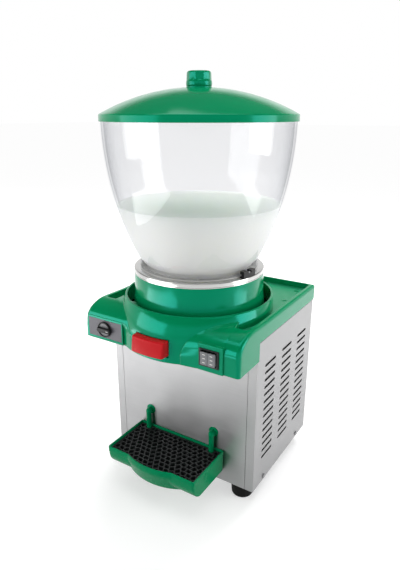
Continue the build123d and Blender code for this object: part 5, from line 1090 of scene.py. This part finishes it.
tree = world.node_tree
backdrop = tree.nodes["Background"]
rays, seen = seen_rays(tree)
place = put(tree, "TexCoord")
split = put(tree, "SeparateXYZ")
dome_tone = put(tree, "MapRange", {"From Min": 0.29, "From Max": 0.49, "To Min": 1.0, "To Max": 0.08},
                interpolation_type="SMOOTHSTEP")
mirrored, pale_dome, white_dome = [put(tree, "Math", operation="MAXIMUM") for _ in range(3)]
soft_dome = put(tree, "Math", {1: 0.6}, operation="MULTIPLY")
level = put(tree, "MapRange", {"To Min": 0.62, "To Max": 1.0})
wire(tree, (place, "Generated", split, 0), (split, "Z", dome_tone, "Value"), (dome_tone, 0, pale_dome, 0),
     (rays, "Is Diffuse Ray", soft_dome, 0), (soft_dome, 0, pale_dome, 1), (pale_dome, 0, white_dome, 0),
     (seen, 0, white_dome, 1), (white_dome, 0, backdrop, "Color"), (seen, 0, mirrored, 0),
     (rays, "Is Glossy Ray", mirrored, 1), (mirrored, 0, level, "Value"), (level, 0, backdrop, "Strength"))
print("world:", len(tree.nodes), "nodes")

# %% [markdown]
# Area lamps shape the object. Two windows, left in front and right behind, show as crisp patches in the
# gloss, the left one in the gloss alone. A wide lamp hangs overhead, and two low panels that lie on the floor
# brighten the upright faces which mirror it. Two fills light the left side and, through the back of the
# bowl, the drink. They are hidden from reflections, as bounced light would be.

# %% Lamps
AIM, LEFT, RIGHT = (0, 0, 0.38), (-1.06, -1.46, 0.62), (1.74, 0.47, 0.67)


def softbox(name, place, aim, size, power):
    """Rectangular area lamp at a place, turned to face a point."""
    lamp = bpy.data.lights.new(name, "AREA")
    lamp.shape = "RECTANGLE"
    lamp.size, lamp.size_y = size
    lamp.energy = power
    stand = bpy.data.objects.new(name, lamp)
    stand.location = place
    way = np.array(aim) - np.array(place)
    flat_way = math.hypot(way[0], way[1])
    stand.rotation_euler = (math.atan2(flat_way, -way[2]), 0, math.atan2(way[1], way[0]) - math.pi / 2)
    stand.visible_camera = False
    scene.collection.objects.link(stand)
    return stand


lamps = [softbox("left window", LEFT, AIM, (1.6, 0.95), 15),
         softbox("right window", RIGHT, AIM, (1.07, 0.95), 14),
         softbox("overhead", (0.0, -0.1, 1.9), AIM, (1.4, 1.4), 14),
         softbox("left floor panel", (-0.617, -0.850, 0.004), (-0.616, -0.849, 1), (1.1, 0.5), 6.0),
         softbox("right floor panel", (1.08, 0.29, 0.004), (1.079, 0.289, 1), (0.5, 0.36), 1.7)]
lamps[0].visible_diffuse = False
fills = [softbox("left fill", LEFT, AIM, (1.2, 1.0), 14),
         softbox("back fill", (-0.3, 1.8, 1.65), AIM, (2.0, 0.9), 58)]
for stand in fills:
    stand.visible_glossy = False
print("lamps", len(lamps) + len(fills))

# %% [markdown]
# The floor is white paper. More light would make it white, and would bleach the object too. So it glows for
# the camera just so much that open floor comes out white, more with the distance because the lamps fade
# there. Where the object keeps the lamps off, a soft shadow stays.

# %% Floor
FLOOR_HALF = 30.0
floor_mesh = bpy.data.meshes.new("floor")
floor_mesh.from_pydata([(x * FLOOR_HALF, y * FLOOR_HALF, 0) for x, y in ((-1, -1), (1, -1), (1, 1), (-1, 1))],
                       [], [(0, 1, 2, 3)])
floor = bpy.data.objects.new("floor", floor_mesh)
scene.collection.objects.link(floor)
paper = bpy.data.materials.new("white paper floor")
paper.use_nodes = True
tree = paper.node_tree
sheet = tree.nodes["Principled BSDF"]
for entry, value in (("Base Color", (0.60, 0.60, 0.60, 1)), ("Roughness", 1.0), ("Specular IOR Level", 0.0),
                     ("Emission Color", (1, 1, 1, 1))):
    sheet.inputs[entry].default_value = value
rays, seen = seen_rays(tree)
place = put(tree, "TexCoord")
far = put(tree, "VectorMath", operation="LENGTH")
open_glow = put(tree, "MapRange", {"From Min": 0.3, "From Max": 1.6, "To Min": 0.50, "To Max": 0.74},
                interpolation_type="SMOOTHSTEP")
far_glow = put(tree, "MapRange", {"From Min": 0.3, "From Max": 0.9, "To Min": 0.3, "To Max": 0.48},
               interpolation_type="SMOOTHSTEP")
seen_glow = put(tree, "Math", operation="MULTIPLY")
glow = put(tree, "Math", operation="MULTIPLY_ADD")
wire(tree, (place, "Object", far, 0), (far, "Value", open_glow, "Value"), (far, "Value", far_glow, "Value"),
     (open_glow, 0, seen_glow, 0), (seen, 0, seen_glow, 1), (rays, "Is Glossy Ray", glow, 0),
     (far_glow, 0, glow, 1), (seen_glow, 0, glow, 2), (glow, 0, sheet, "Emission Strength"))
floor.data.materials.append(paper)
print("floor:", len(tree.nodes), "nodes")
